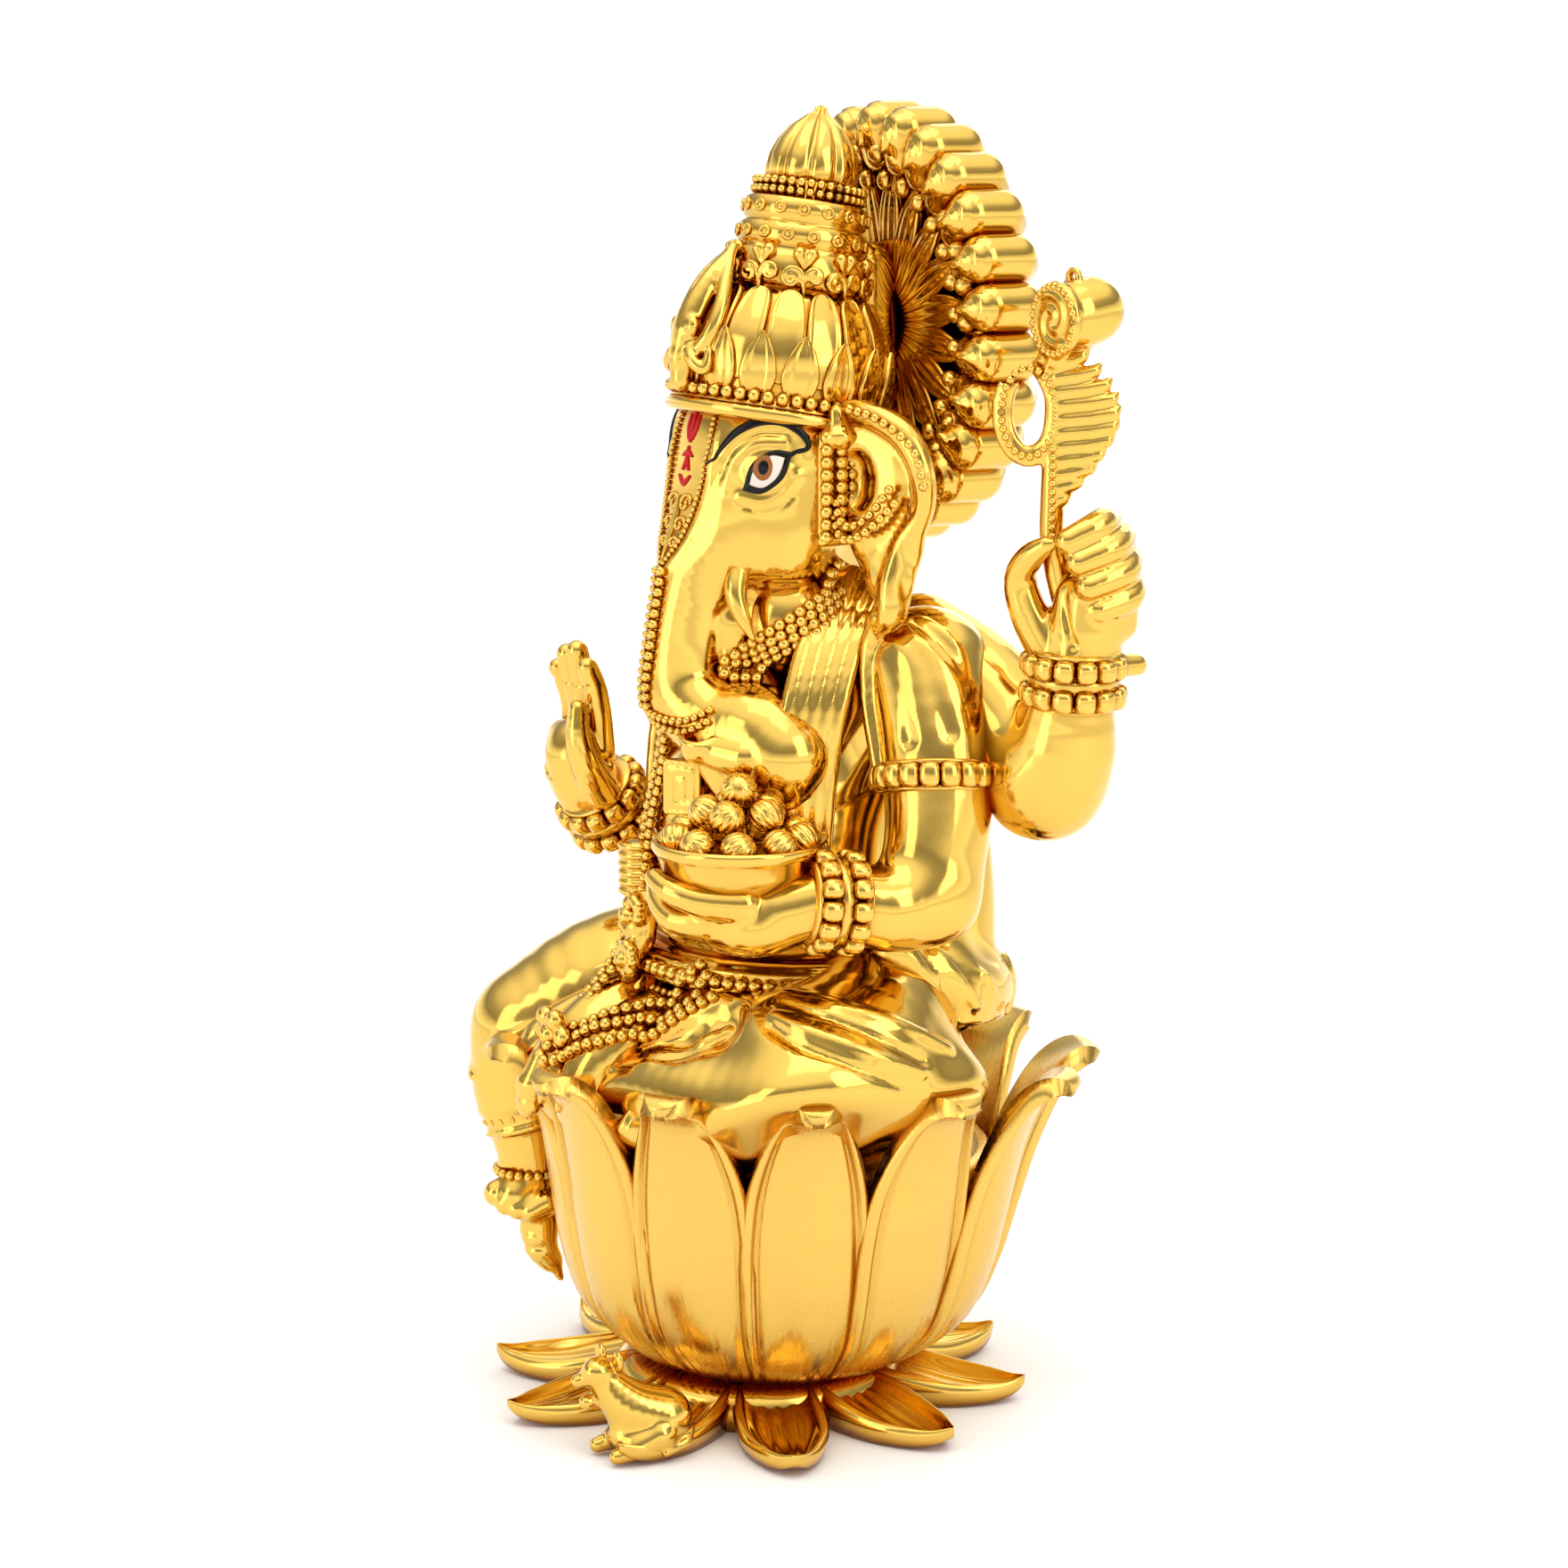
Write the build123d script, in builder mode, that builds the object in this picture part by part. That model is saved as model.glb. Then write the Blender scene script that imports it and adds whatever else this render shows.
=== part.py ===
"""Seated elephant-headed deity on a lotus throne, cast in pieces and glued on pegs.

Millimetres.  +Z is up, the figure looks along -Y, its own left hand is at +X.
The seat disc top is the datum of the figure: at() takes heights above the seat.
"""
import os
from math import cos, radians, sin

from build123d import *

os.makedirs("parts", exist_ok=True)

# ---------------------------------------------------------------- driving sizes
seat_top = 66.0            # height of the seat disc above the table
figure_height = 234.0      # seat disc to the top of the aureole
lotus_radius = 57.0        # lotus throne, outside of the petals at the shoulder
base_reach = 64.0          # base leaves, centre to leaf tip
base_offset = -5.0         # the base ring sits a little forward of the throne
plinth_radius = 26.0       # round plug inside the base ring
lotus_petals = 12
base_leaves = 10
first_leaf = -24.0         # degrees, shared phase of leaves and petals
fit_gap = 0.15             # clearance all round a spigot or peg
peg_radius = 2.5           # glue pegs between castings
peg_length = 6.0
seat_radius = 43.0         # seat disc let into the throne
bowl_radius = 19.0         # offering bowl rim, outside
trunk_radius = 8.0         # trunk at half height

k = figure_height / 234.0  # every figure size below follows the figure height
s = lotus_radius / 57.0    # every throne size follows the throne radius
LOW = (Align.CENTER, Align.CENTER, Align.MIN)


def at(x, y, z):
    return Vector(x * k, y * k, seat_top + z * k)


def ball(p, r):
    with Locations(p):
        Sphere(r * k)


def bar(p, q, r1, r2):
    with Locations(Plane(origin=p, z_dir=q - p).location):
        if abs(r1 - r2) < 0.01:
            Cylinder(r1 * k, (q - p).length, align=LOW)
        else:
            Cone(r1 * k, r2 * k, (q - p).length, align=LOW)


def limb(stations):
    """Tapered bars with a slightly proud ball at each station."""
    for (p, r), (q, t) in zip(stations, stations[1:]):
        bar(p, q, r * 0.97, t * 0.97)
    for p, r in stations:
        ball(p, r)


def stack(sections):
    """Smooth body through horizontal ellipses (height, centre y, half x, half y)."""
    faces = []
    for z, cy, rx, ry in sections:
        with BuildSketch(Plane.XY.offset(seat_top + z * k)) as ring:
            with Locations((0, cy * k)):
                Ellipse(rx * k, ry * k)
        faces.append(ring.sketch.face())
    loft(sections=faces)


def cut(*others):
    for other in others:
        add(other.part, mode=Mode.SUBTRACT)


def peg(p, towards, size, grow=0.0, mode=Mode.ADD):
    """A glue peg from p towards a point, or its socket when grown and cut."""
    r = peg_radius * size + grow
    with Locations(Plane(origin=p, z_dir=towards - p).location):
        Cylinder(r, peg_length + grow, align=LOW, mode=mode)


# ---------------------------------------------------------------- base and throne
foot_top = 9.0
throne_foot = 30.0 * s
spigot_radius = 12.0

with BuildSketch() as leaf:
    with BuildLine():
        Spline((20, -7), (34, -10.2), (52, -7.4), (base_reach, 0))
        Spline((base_reach, 0), (52, 7.4), (34, 10.2), (20, 7))
        Line((20, 7), (20, -7))
    make_face()

with BuildPart() as base_petals:
    with BuildSketch(Plane.XY):
        with Locations((0, base_offset)):
            Circle(plinth_radius + 7)
            with PolarLocations(0, base_leaves, start_angle=first_leaf):
                add(leaf.sketch)
            Circle(plinth_radius + fit_gap, mode=Mode.SUBTRACT)
    extrude(amount=20)
    with BuildSketch(Plane.XZ.offset(-base_offset)):
        with BuildLine():
            Polyline((0, 0), (base_reach + 1, 0), (base_reach + 1, 7.4), (base_reach - 8, 5.0),
                     (base_reach - 16, 6.0), (40, 7.6), (33, foot_top - 0.2), (0, foot_top - 0.2), (0, 0))
        make_face()
    revolve(axis=Axis((0, base_offset, 0), (0, 0, 1)), mode=Mode.INTERSECT)

with BuildPart() as base_plinth:
    with Locations((0, base_offset, 0)):
        Cylinder(plinth_radius, foot_top, align=LOW)
    with Locations((0, 0, foot_top)):
        Cylinder(spigot_radius, peg_length, align=LOW)

with BuildPart() as lotus_seat:
    with BuildSketch(Plane.XZ):
        with BuildLine():
            Polyline((0, foot_top), (28 * s, foot_top), (33 * s, 13), (44 * s, 24), (47.5 * s, 33),
                     (51 * s, 46), (53 * s, 60), (seat_radius + 2, 60), (seat_radius + fit_gap, 54),
                     (0, 54), (0, foot_top))
        make_face()
    revolve(axis=Axis.Z)
    for i in range(lotus_petals):
        turn = first_leaf + i * 360 / lotus_petals
        rear = ((1 + sin(radians(turn))) / 2) ** 2
        for z, reach, wide, thick, lean in ((foot_top, 29, 7.6, 3.4, 0), (14, 37, 9.9, 3.8, 0),
                                            (24, 47, 12.9, 4, 0), (34, 51.2, 14, 4, 1),
                                            (46, 54.2, 14.5, 4, 4), (58, 57, 13.2, 3.2, 8),
                                            (68, 60.5, 8.8, 2.4, 13), (76, 62.6, 2.6, 1.4, 18)):
            r = reach * s + lean * rear - thick
            with BuildSketch(Plane.XY.offset(z)):
                with Locations(Location((r * cos(radians(turn)), r * sin(radians(turn))), turn)):
                    Ellipse(thick, wide * s)
        loft()
    with Locations((0, 0, foot_top)):
        Cylinder(spigot_radius + fit_gap, peg_length + fit_gap, align=LOW, mode=Mode.SUBTRACT)

with BuildPart() as seat_deck:
    with Locations((0, 0, 54)):
        Cylinder(seat_radius, seat_top - 54, align=LOW)

# ---------------------------------------------------------------- body and legs
with BuildPart() as hips_blank:
    stack(((0, 6, 33, 27), (10, 6, 36, 30), (22, 8, 34, 31), (34, 11, 30, 29)))

with BuildPart() as torso_blank:
    stack(((34, 11, 29, 28), (50, 7, 30, 33), (66, 7, 30, 32), (84, 11, 31, 27),
           (100, 15, 33, 21), (112, 16, 28, 16), (124, 12, 14, 11)))

with BuildPart() as left_leg:
    limb(((at(20, 8, 22), 18), (at(47, -24, 18), 17.5), (at(20, -36, 10), 9.5)))
    cut(hips_blank, torso_blank, lotus_seat, seat_deck)

with BuildPart() as right_leg:
    limb(((at(-18, 4, 22), 17), (at(-43, -40, 13), 13.5), (at(-45, -47, -22), 8.5)))
    cut(hips_blank, torso_blank, lotus_seat, seat_deck)

with BuildPart() as right_foot:
    limb(((at(-43, -44, -31), 6.2), (at(-36, -53, -36), 4.6)))
    bar(at(-45, -47, -22), at(-43, -44, -31), 7, 6.2)
    cut(right_leg, lotus_seat)

with BuildPart() as dhoti_apron:
    for z, y, rx, ry in ((30, -27, 11, 5), (14, -44, 13, 6), (2, -52, 13, 5), (-10, -54, 11, 4.4)):
        with BuildSketch(Plane.XY.offset(seat_top + z * k)):
            with Locations((-11 * k, y * k)):
                Ellipse(rx * k, ry * k)
    loft()
    cut(hips_blank, torso_blank, left_leg, right_leg, lotus_seat, seat_deck)

with BuildPart() as waist_belt:
    with BuildSketch(Plane.XY.offset(seat_top + 34 * k)):
        with Locations((0, 9 * k)):
            Ellipse(34 * k, 35.5 * k)
    extrude(amount=9 * k)
    cut(torso_blank, left_leg, right_leg, dhoti_apron)

# ---------------------------------------------------------------- head
neck = at(0, 10, 124)
with BuildPart() as head_blank:
    skull = scale(Sphere(1, mode=Mode.PRIVATE), by=(23.5 * k, 22 * k, 31 * k), mode=Mode.PRIVATE)
    add(skull.moved(Location(at(0, -1, 148))))
    ball(at(0, 6, 128), 13)
    limb(((at(0, -13, 140), 12.5), (at(0, -20, 126), 9.4), (at(0, -25, 111), trunk_radius),
          (at(3, -25, 101), trunk_radius + 0.6), (at(13, -20, 94), trunk_radius + 1.6),
          (at(22, -15, 91), trunk_radius + 2.8)))
    cut(torso_blank)

with BuildPart() as left_tusk:
    limb(((at(12, -17, 129), 2.6), (at(17, -19, 121), 1.9), (at(19, -20, 115), 1.0)))
    cut(head_blank, torso_blank)

with BuildPart() as right_tusk:
    limb(((at(-11, -17, 129), 2.6), (at(-15.5, -19.5, 122), 2.2)))
    cut(head_blank, torso_blank)

with BuildPart() as left_ear:
    with BuildSketch(Plane(origin=at(33, 4, 142), x_dir=(0.88, 0.47, 0), z_dir=(0.47, -0.88, 0))):
        Ellipse(15 * k, 24 * k)
    extrude(amount=2.6 * k, both=True)
    cut(head_blank, torso_blank)

with BuildPart() as right_ear:
    with BuildSketch(Plane(origin=at(-33, 4, 142), x_dir=(0.88, -0.47, 0), z_dir=(-0.47, -0.88, 0))):
        Ellipse(15 * k, 24 * k)
    extrude(amount=2.6 * k, both=True)
    cut(head_blank, torso_blank)

# ---------------------------------------------------------------- crown and aureole
crown_foot = at(0, 1, 167)
crown_axis = at(0, 12.5, 230) - crown_foot
crown_plane = Plane(origin=crown_foot, x_dir=(1, 0, 0), z_dir=crown_axis)


def turned(profile):
    """Solid of revolution about the leaning crown axis, profile in (radius, height)."""
    with BuildSketch(Plane(origin=crown_foot, x_dir=(1, 0, 0), z_dir=Vector(1, 0, 0).cross(crown_axis))) as half:
        with BuildLine():
            Polyline(*[(r * k, h * k) for r, h in profile], close=True)
        make_face()
    revolve(half.sketch.face(), axis=Axis(crown_foot, crown_axis))


with BuildPart() as crown_dome:
    turned(((0, -4), (24.5, -4), (25.5, 0), (25.2, 8), (24, 16), (21, 23), (16.5, 29), (0, 29)))
    cut(head_blank, left_ear, right_ear)

with BuildPart() as crown_bands:
    turned(((0, 29), (16, 29), (16.5, 34), (13.5, 38), (14, 44), (13.2, 50), (0, 50)))

with BuildPart() as crown_finial:
    turned(((0, 50), (10.8, 50), (11.2, 54), (8.6, 60), (3, 65), (0, 67)))

halo = at(0, 29.5, 183.5)
halo_plane = Plane(origin=halo, x_dir=(1, 0, 0), z_dir=(0, -1, 0))
knob_ring = 45.5
with BuildPart() as aureole:
    with BuildSketch(halo_plane):
        Circle((knob_ring - 4.1) * k)
    extrude(amount=-9 * k)
    with Locations(at(0, 22, 178)):
        Box(16 * k, 18 * k, 56 * k)
    cut(head_blank, torso_blank, left_ear, right_ear, crown_dome, crown_bands, crown_finial)

with BuildPart() as aureole_knobs:
    with BuildSketch(halo_plane.offset(4 * k)):
        with PolarLocations(knob_ring * k, 26):
            Circle(5.6 * k)
        Circle((knob_ring - 4.0) * k, mode=Mode.SUBTRACT)
    extrude(amount=-15 * k)
    cut(torso_blank, head_blank)

with BuildPart() as aureole_beads:
    with BuildSketch(halo_plane):
        Circle(40 * k)
        Circle(27 * k, mode=Mode.SUBTRACT)
    extrude(amount=3.5 * k)
    cut(aureole, aureole_knobs, head_blank, left_ear, right_ear, crown_dome, crown_bands, crown_finial, torso_blank)

# ---------------------------------------------------------------- arms, one casting each
shoulder_l, elbow_l, wrist_l = at(36, 16, 108), at(50, 9, 62), at(47, -14, 63)
shoulder_r, elbow_r, wrist_r = at(-36, 16, 108), at(-50, 9, 62), at(-44.5, -19, 67)
with BuildPart() as left_arm:
    limb(((shoulder_l, 12), (elbow_l, 9.6), (wrist_l, 7.2)))
    cut(torso_blank, hips_blank, left_leg)

with BuildPart() as right_arm:
    limb(((shoulder_r, 12), (elbow_r, 9.6), (wrist_r, 7.2)))
    cut(torso_blank, hips_blank, right_leg)

with BuildPart() as rear_left_arm:
    limb(((at(27, 23, 111), 9.5), (at(40, 27, 110), 11), (at(61, 32, 81), 10), (at(71, 32, 107), 7.4)))
    cut(torso_blank, left_arm)

with BuildPart() as rear_right_arm:
    limb(((at(-27, 23, 111), 9.5), (at(-40, 27, 110), 11), (at(-61, 32, 81), 10), (at(-71, 32, 107), 7.4)))
    cut(torso_blank, right_arm)

with BuildPart() as left_hand:
    bar(at(45, -22, 62), at(30, -30, 60), 7, 5)
    with Locations(Location(at(25, -32, 60.5), (0, -6, 24))):
        Box(18 * k, 12 * k, 5 * k)
    cut(left_arm, torso_blank, hips_blank, left_leg, waist_belt)

with BuildPart() as right_hand:
    with BuildSketch(Plane(origin=at(-44, -25, 72), z_dir=(0, -1, 0.1))):
        Ellipse(8.5 * k, 11 * k)
    extrude(amount=3 * k, both=True)
    for fx, top in ((-6, 104), (-2, 107), (2, 106), (6, 102)):
        bar(at(-44 + fx, -25, 80), at(-44 + fx * 1.2, -27, top), 2.5, 1.9)
    limb(((at(-36, -26, 76), 3), (at(-33, -29, 88), 2.2)))
    cut(right_arm)

with BuildPart() as rear_left_hand:
    limb(((at(72, 33, 118), 8.2), (at(72, 33, 130), 10)))
    cut(rear_left_arm)

with BuildPart() as rear_right_hand:
    limb(((at(-72, 33, 118), 8.2), (at(-72, 33, 130), 10)))
    cut(rear_right_arm)

bracelet_turns = (("left_bracelets", at(46.5, -18, 63), elbow_l, left_arm, left_hand, 10.6),
                  ("right_bracelets", at(-44, -20, 68), elbow_r, right_arm, right_hand, 10.6),
                  ("rear_left_bracelets", at(71, 32, 109), at(61, 32, 81), rear_left_arm, rear_left_hand, 11),
                  ("rear_right_bracelets", at(-71, 32, 109), at(-61, 32, 81), rear_right_arm, rear_right_hand, 11))
bracelets = {}
for name, start, toward, arm, hand, reach in bracelet_turns:
    with BuildPart() as bracelets[name]:
        bar(start, start + (toward - start).normalized() * 9 * k, reach, reach)
        cut(arm, hand, torso_blank)

with BuildPart() as left_armlet:
    bar(at(42.5, 12.5, 85), at(44, 12, 80), 13.4, 13.2)
    cut(left_arm, torso_blank, rear_left_arm)

with BuildPart() as right_armlet:
    bar(at(-42.5, 12.5, 85), at(-44, 12, 80), 13.4, 13.2)
    cut(right_arm, torso_blank, rear_right_arm)

# ---------------------------------------------------------------- attributes held in the hands
bowl_centre = at(30, -28, 62)
with BuildPart() as sweet_bowl:
    with BuildSketch(Plane(origin=bowl_centre, x_dir=(1, 0, 0), z_dir=(0, -1, 0))) as bowl_half:
        with BuildLine():
            Polyline((0, 0), (8, 0), (14, 2.5), (bowl_radius - 1.4, 7), (bowl_radius, 11.5),
                     (bowl_radius - 2, 11.5), (bowl_radius - 4, 8), (0, 5.6), (0, 0))
        make_face()
    revolve(axis=Axis(bowl_centre, (0, 0, 1)))
    cut(torso_blank, head_blank, left_hand, left_arm, bracelets["left_bracelets"])

with BuildPart() as sweets:
    ball_r = 3.9
    for count, ring, height in ((8, 11.3, 12.2), (4, 5.4, 16.5), (1, 0, 20.5)):
        with Locations(bowl_centre + Vector(0, 0, height * k)):
            with PolarLocations(ring * k, count):
                Sphere(ball_r * k)
    with Locations(bowl_centre + Vector(0, 0, 7.2)):
        Cone(14.2 * k, 4 * k, 11 * k, align=LOW)
    cut(sweet_bowl, torso_blank, head_blank)

with BuildPart() as goad:
    bar(at(71, 33, 118), at(69, 33, 172), 2.6, 2.2)
    with BuildSketch(Plane(origin=at(0, 38, 0), x_dir=(1, 0, 0), z_dir=(0, -1, 0))) as hook_face:
        with Locations((65 * k, 170 * k)):
            Circle(12 * k)
            Circle(4 * k, mode=Mode.SUBTRACT)
        with Locations((75 * k, 168 * k)):
            Rectangle(9 * k, 38 * k)
        with Locations((74 * k, 190 * k)):
            Circle(9 * k)
    extrude(amount=9 * k)
    cut(rear_left_hand)

with BuildPart() as battle_axe:
    bar(at(-71, 33, 118), at(-70, 33, 181), 2.6, 2.2)
    with BuildSketch(Plane(origin=at(0, 35, 0), x_dir=(1, 0, 0), z_dir=(0, -1, 0))) as blade:
        with BuildLine():
            Polyline((-72, 164), (-86, 158), (-90, 168), (-86, 179), (-72, 173), (-72, 164))
        make_face()
        scale(by=k)
    extrude(amount=4 * k)
    cut(rear_right_hand)

# ---------------------------------------------------------------- dress and jewels
with BuildPart() as shawl_left:
    limb(((at(20, 10, 126), 7), (at(27, 5, 112), 8), (at(29, -4, 92), 8.5), (at(28, -7, 74), 8)))
    cut(torso_blank, head_blank, left_arm, left_ear, left_hand, sweet_bowl, sweets, left_armlet)

with BuildPart() as shawl_right:
    limb(((at(-20, 10, 126), 7), (at(-27, 5, 112), 8), (at(-29, -4, 92), 8.5), (at(-28, -7, 74), 8)))
    cut(torso_blank, head_blank, right_arm, right_ear, right_hand, right_armlet)

with BuildPart() as back_drape:
    with BuildSketch(Plane.XY.offset(seat_top + 34 * k)) as low:
        with Locations((0, 16 * k)):
            Ellipse(31 * k, 30 * k)
    with BuildSketch(Plane.XY.offset(seat_top + 110 * k)) as high:
        with Locations((0, 18 * k)):
            Ellipse(30 * k, 19 * k)
    loft(sections=[low.sketch.face(), high.sketch.face()])
    with Locations(at(0, -40, 0)):
        Box(120 * k, 124 * k, 400 * k, mode=Mode.SUBTRACT)
    cut(torso_blank, hips_blank, waist_belt, left_arm, right_arm, rear_left_arm, rear_right_arm)

with BuildPart() as necklaces:
    with BuildSketch(Plane(origin=at(0, 8, 112), x_dir=(1, 0, 0), z_dir=(0, -0.55, 0.83))) as collar:
        Ellipse(26 * k, 24 * k)
    extrude(collar.sketch, amount=6 * k)
    cut(torso_blank, head_blank, shawl_left, shawl_right, left_arm, right_arm, aureole, left_tusk, right_tusk,
        rear_left_arm, rear_right_arm, left_ear, right_ear, back_drape, aureole_knobs)

with BuildPart() as long_garland:
    limb(((at(-7, -19, 92), 2.8), (at(-8, -29, 76), 2.8), (at(-10, -30, 58), 3.6), (at(-11, -31, 42), 2.8),
          (at(-9, -46, 24), 2.6)))
    cut(torso_blank, hips_blank, waist_belt, dhoti_apron, head_blank, sweet_bowl, left_hand, right_hand,
        right_leg, left_leg, necklaces)

with BuildPart() as flower_tassel:
    with BuildSketch(Plane(origin=at(-10, -50, 22), z_dir=(0, -1, 0.2))) as flower:
        with PolarLocations(4 * k, 5):
            Circle(2.6 * k)
        Circle(3.4 * k)
    extrude(flower.sketch, amount=4 * k, both=True)
    cut(dhoti_apron, long_garland, right_leg, left_leg)

with BuildPart() as left_temple_tassel:
    with BuildSketch(Plane(origin=at(26.5, 0, 139), x_dir=(0, 1, 0), z_dir=(1, 0, 0))) as strip:
        Rectangle(10 * k, 26 * k)
    extrude(strip.sketch, amount=3 * k, both=True)
    cut(head_blank, left_ear, crown_dome)

with BuildPart() as right_temple_tassel:
    with BuildSketch(Plane(origin=at(-26.5, 0, 139), x_dir=(0, 1, 0), z_dir=(1, 0, 0))) as strip:
        Rectangle(10 * k, 26 * k)
    extrude(strip.sketch, amount=3 * k, both=True)
    cut(head_blank, right_ear, crown_dome)

with BuildPart() as left_eye:
    ball(at(17.6, -10.6, 153.8), 5.6)
    cut(head_blank)

with BuildPart() as right_eye:
    ball(at(-17.6, -10.6, 153.8), 5.6)
    cut(head_blank)

with BuildPart() as brow_panel:
    with BuildSketch(Plane(origin=at(0, -17, 156), x_dir=(1, 0, 0), z_dir=(0, -1, 0))) as panel:
        with BuildLine():
            Spline((0, -14 * k), (-5 * k, 2 * k), (-3.6 * k, 12 * k))
            Line((-3.6 * k, 12 * k), (3.6 * k, 12 * k))
            Spline((3.6 * k, 12 * k), (5 * k, 2 * k), (0, -14 * k))
        make_face()
    extrude(panel.sketch, amount=7 * k)
    cut(head_blank, crown_dome)

with BuildPart() as forehead_mark:
    with BuildSketch(Plane(origin=at(0, -24, 160), x_dir=(1, 0, 0), z_dir=(0, -1, 0))) as mark:
        Rectangle(3.2 * k, 11 * k)
    extrude(mark.sketch, amount=0.7 * k)
    cut(brow_panel, crown_dome)

with BuildPart() as mouse:
    ball(at(26, -48, -54.6), 6.2)
    ball(at(22.5, -54.5, -51.6), 5.0)
    cut(base_petals, lotus_seat)

# ---------------------------------------------------------------- glue pegs and export
# host, guest, peg start inside the guest, point the peg heads for, size against a standard peg
up_crown = crown_axis.normalized() * k
joints = (
    ("seat_deck", "hips", at(0, 8, 1), at(0, 8, -9), 2.4),
    ("hips", "torso", at(0, 10, 35), at(0, 10, 20), 2.4),
    ("torso", "head", at(0, 10, 125), at(0, 11, 110), 1.6),
    ("torso", "left_arm", at(33, 16, 107), at(20, 16, 105), 1),
    ("torso", "right_arm", at(-33, 16, 107), at(-20, 16, 105), 1),
    ("torso", "rear_left_arm", at(22.5, 28, 112), at(10, 20, 108), 1),
    ("torso", "rear_right_arm", at(-22.5, 28, 112), at(-10, 20, 108), 1),
    ("left_arm", "left_hand", at(45.6, -21.3, 62), at(47, -10, 63), 1),
    ("right_arm", "right_hand", at(-44, -27.5, 69.5), at(-44.7, -12, 66), 0.8),
    ("rear_left_arm", "rear_left_hand", at(71.5, 32.5, 115), at(71, 32, 100), 1),
    ("rear_right_arm", "rear_right_hand", at(-71.5, 32.5, 115), at(-71, 32, 100), 1),
    ("hips", "left_leg", at(33.5, -8, 20), at(20, 8, 22), 1.4),
    ("hips", "right_leg", at(-28.8, -15, 18.2), at(-18, 4, 22), 1.4),
    ("head", "crown_dome", at(0, 3, 181), at(0, 1, 160), 1.6),
    ("crown_dome", "crown_bands", crown_foot + up_crown * 30.5, crown_foot, 1.2),
    ("crown_bands", "crown_finial", crown_foot + up_crown * 51.5, crown_foot, 1.2),
    ("crown_dome", "aureole", at(0, 27, 174), at(0, 5, 172), 1.2),
    ("rear_left_hand", "goad", at(70.3, 33, 141), at(71, 33, 125), 0.6),
    ("rear_right_hand", "battle_axe", at(-70.6, 33, 141), at(-71, 33, 125), 0.6),
)

pieces = {
    "base_petals": base_petals, "base_plinth": base_plinth, "lotus_seat": lotus_seat, "seat_deck": seat_deck,
    "mouse": mouse, "hips": hips_blank, "torso": torso_blank, "left_leg": left_leg, "right_leg": right_leg,
    "right_foot": right_foot, "dhoti_apron": dhoti_apron, "waist_belt": waist_belt,
    "back_drape": back_drape, "shawl_left": shawl_left, "shawl_right": shawl_right,
    "left_arm": left_arm, "right_arm": right_arm, "rear_left_arm": rear_left_arm,
    "rear_right_arm": rear_right_arm, "left_hand": left_hand, "right_hand": right_hand,
    "rear_left_hand": rear_left_hand, "rear_right_hand": rear_right_hand,
    "left_armlet": left_armlet, "right_armlet": right_armlet, **bracelets,
    "head": head_blank, "left_ear": left_ear, "right_ear": right_ear, "left_tusk": left_tusk,
    "right_tusk": right_tusk, "left_eye": left_eye, "right_eye": right_eye, "brow_panel": brow_panel,
    "forehead_mark": forehead_mark, "crown_dome": crown_dome, "crown_bands": crown_bands,
    "crown_finial": crown_finial, "left_temple_tassel": left_temple_tassel,
    "right_temple_tassel": right_temple_tassel, "aureole": aureole, "aureole_beads": aureole_beads,
    "aureole_knobs": aureole_knobs, "goad": goad, "battle_axe": battle_axe, "sweet_bowl": sweet_bowl,
    "sweets": sweets, "necklaces": necklaces, "long_garland": long_garland, "flower_tassel": flower_tassel,
}
for name, blank in pieces.items():
    with BuildPart() as finished:
        add(max(blank.part.solids(), key=lambda solid: solid.volume))
        for host, guest, start, toward, size in joints:
            if name == guest:
                peg(start, toward, size)
            if name == host:
                peg(start, toward, size, fit_gap, Mode.SUBTRACT)
    finished.part.label = name
    export_step(finished.part, "parts/" + name + ".step")
    box = finished.part.bounding_box()
    print(f"{name:22s} solids {len(finished.part.solids())} volume {finished.part.volume:9.0f} "
          f"z {box.min.Z:6.1f} to {box.max.Z:6.1f}")
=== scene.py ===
# %% [markdown]
# # Elephant-headed deity on a lotus throne
# The real object is a cast figure about 300 mm tall, electroplated with bright
# gold.  The solid model holds its sizes as separate castings.  Here every casting
# gets the surface a sculptor would give it, and stands in for its plain solid.
# Lengths are written in millimetres and become metres when a mesh is made.

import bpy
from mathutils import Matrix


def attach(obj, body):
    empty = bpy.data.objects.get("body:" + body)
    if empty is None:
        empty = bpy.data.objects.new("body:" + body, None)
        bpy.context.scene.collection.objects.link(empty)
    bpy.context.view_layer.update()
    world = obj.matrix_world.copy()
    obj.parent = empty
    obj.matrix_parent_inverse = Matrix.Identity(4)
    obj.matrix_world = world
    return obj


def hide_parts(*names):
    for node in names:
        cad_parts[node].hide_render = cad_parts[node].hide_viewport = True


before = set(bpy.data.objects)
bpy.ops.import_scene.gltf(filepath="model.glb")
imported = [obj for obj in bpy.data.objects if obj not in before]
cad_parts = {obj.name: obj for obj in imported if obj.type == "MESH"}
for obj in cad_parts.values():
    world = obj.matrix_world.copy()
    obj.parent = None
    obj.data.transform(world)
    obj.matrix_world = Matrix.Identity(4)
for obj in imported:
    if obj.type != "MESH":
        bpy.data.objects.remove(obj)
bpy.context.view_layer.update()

# %% [markdown]
# Everything below is written in millimetres.  MM turns a length into metres, and
# openvdb is the library that meshes the clay.

# %% Tools and the size of a millimetre
from functools import partial
from math import cos, pi, radians, sin, sqrt

import bmesh
import bpy
import numpy as np
import openvdb
from mathutils import Matrix, Vector

MM = 0.001

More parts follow.
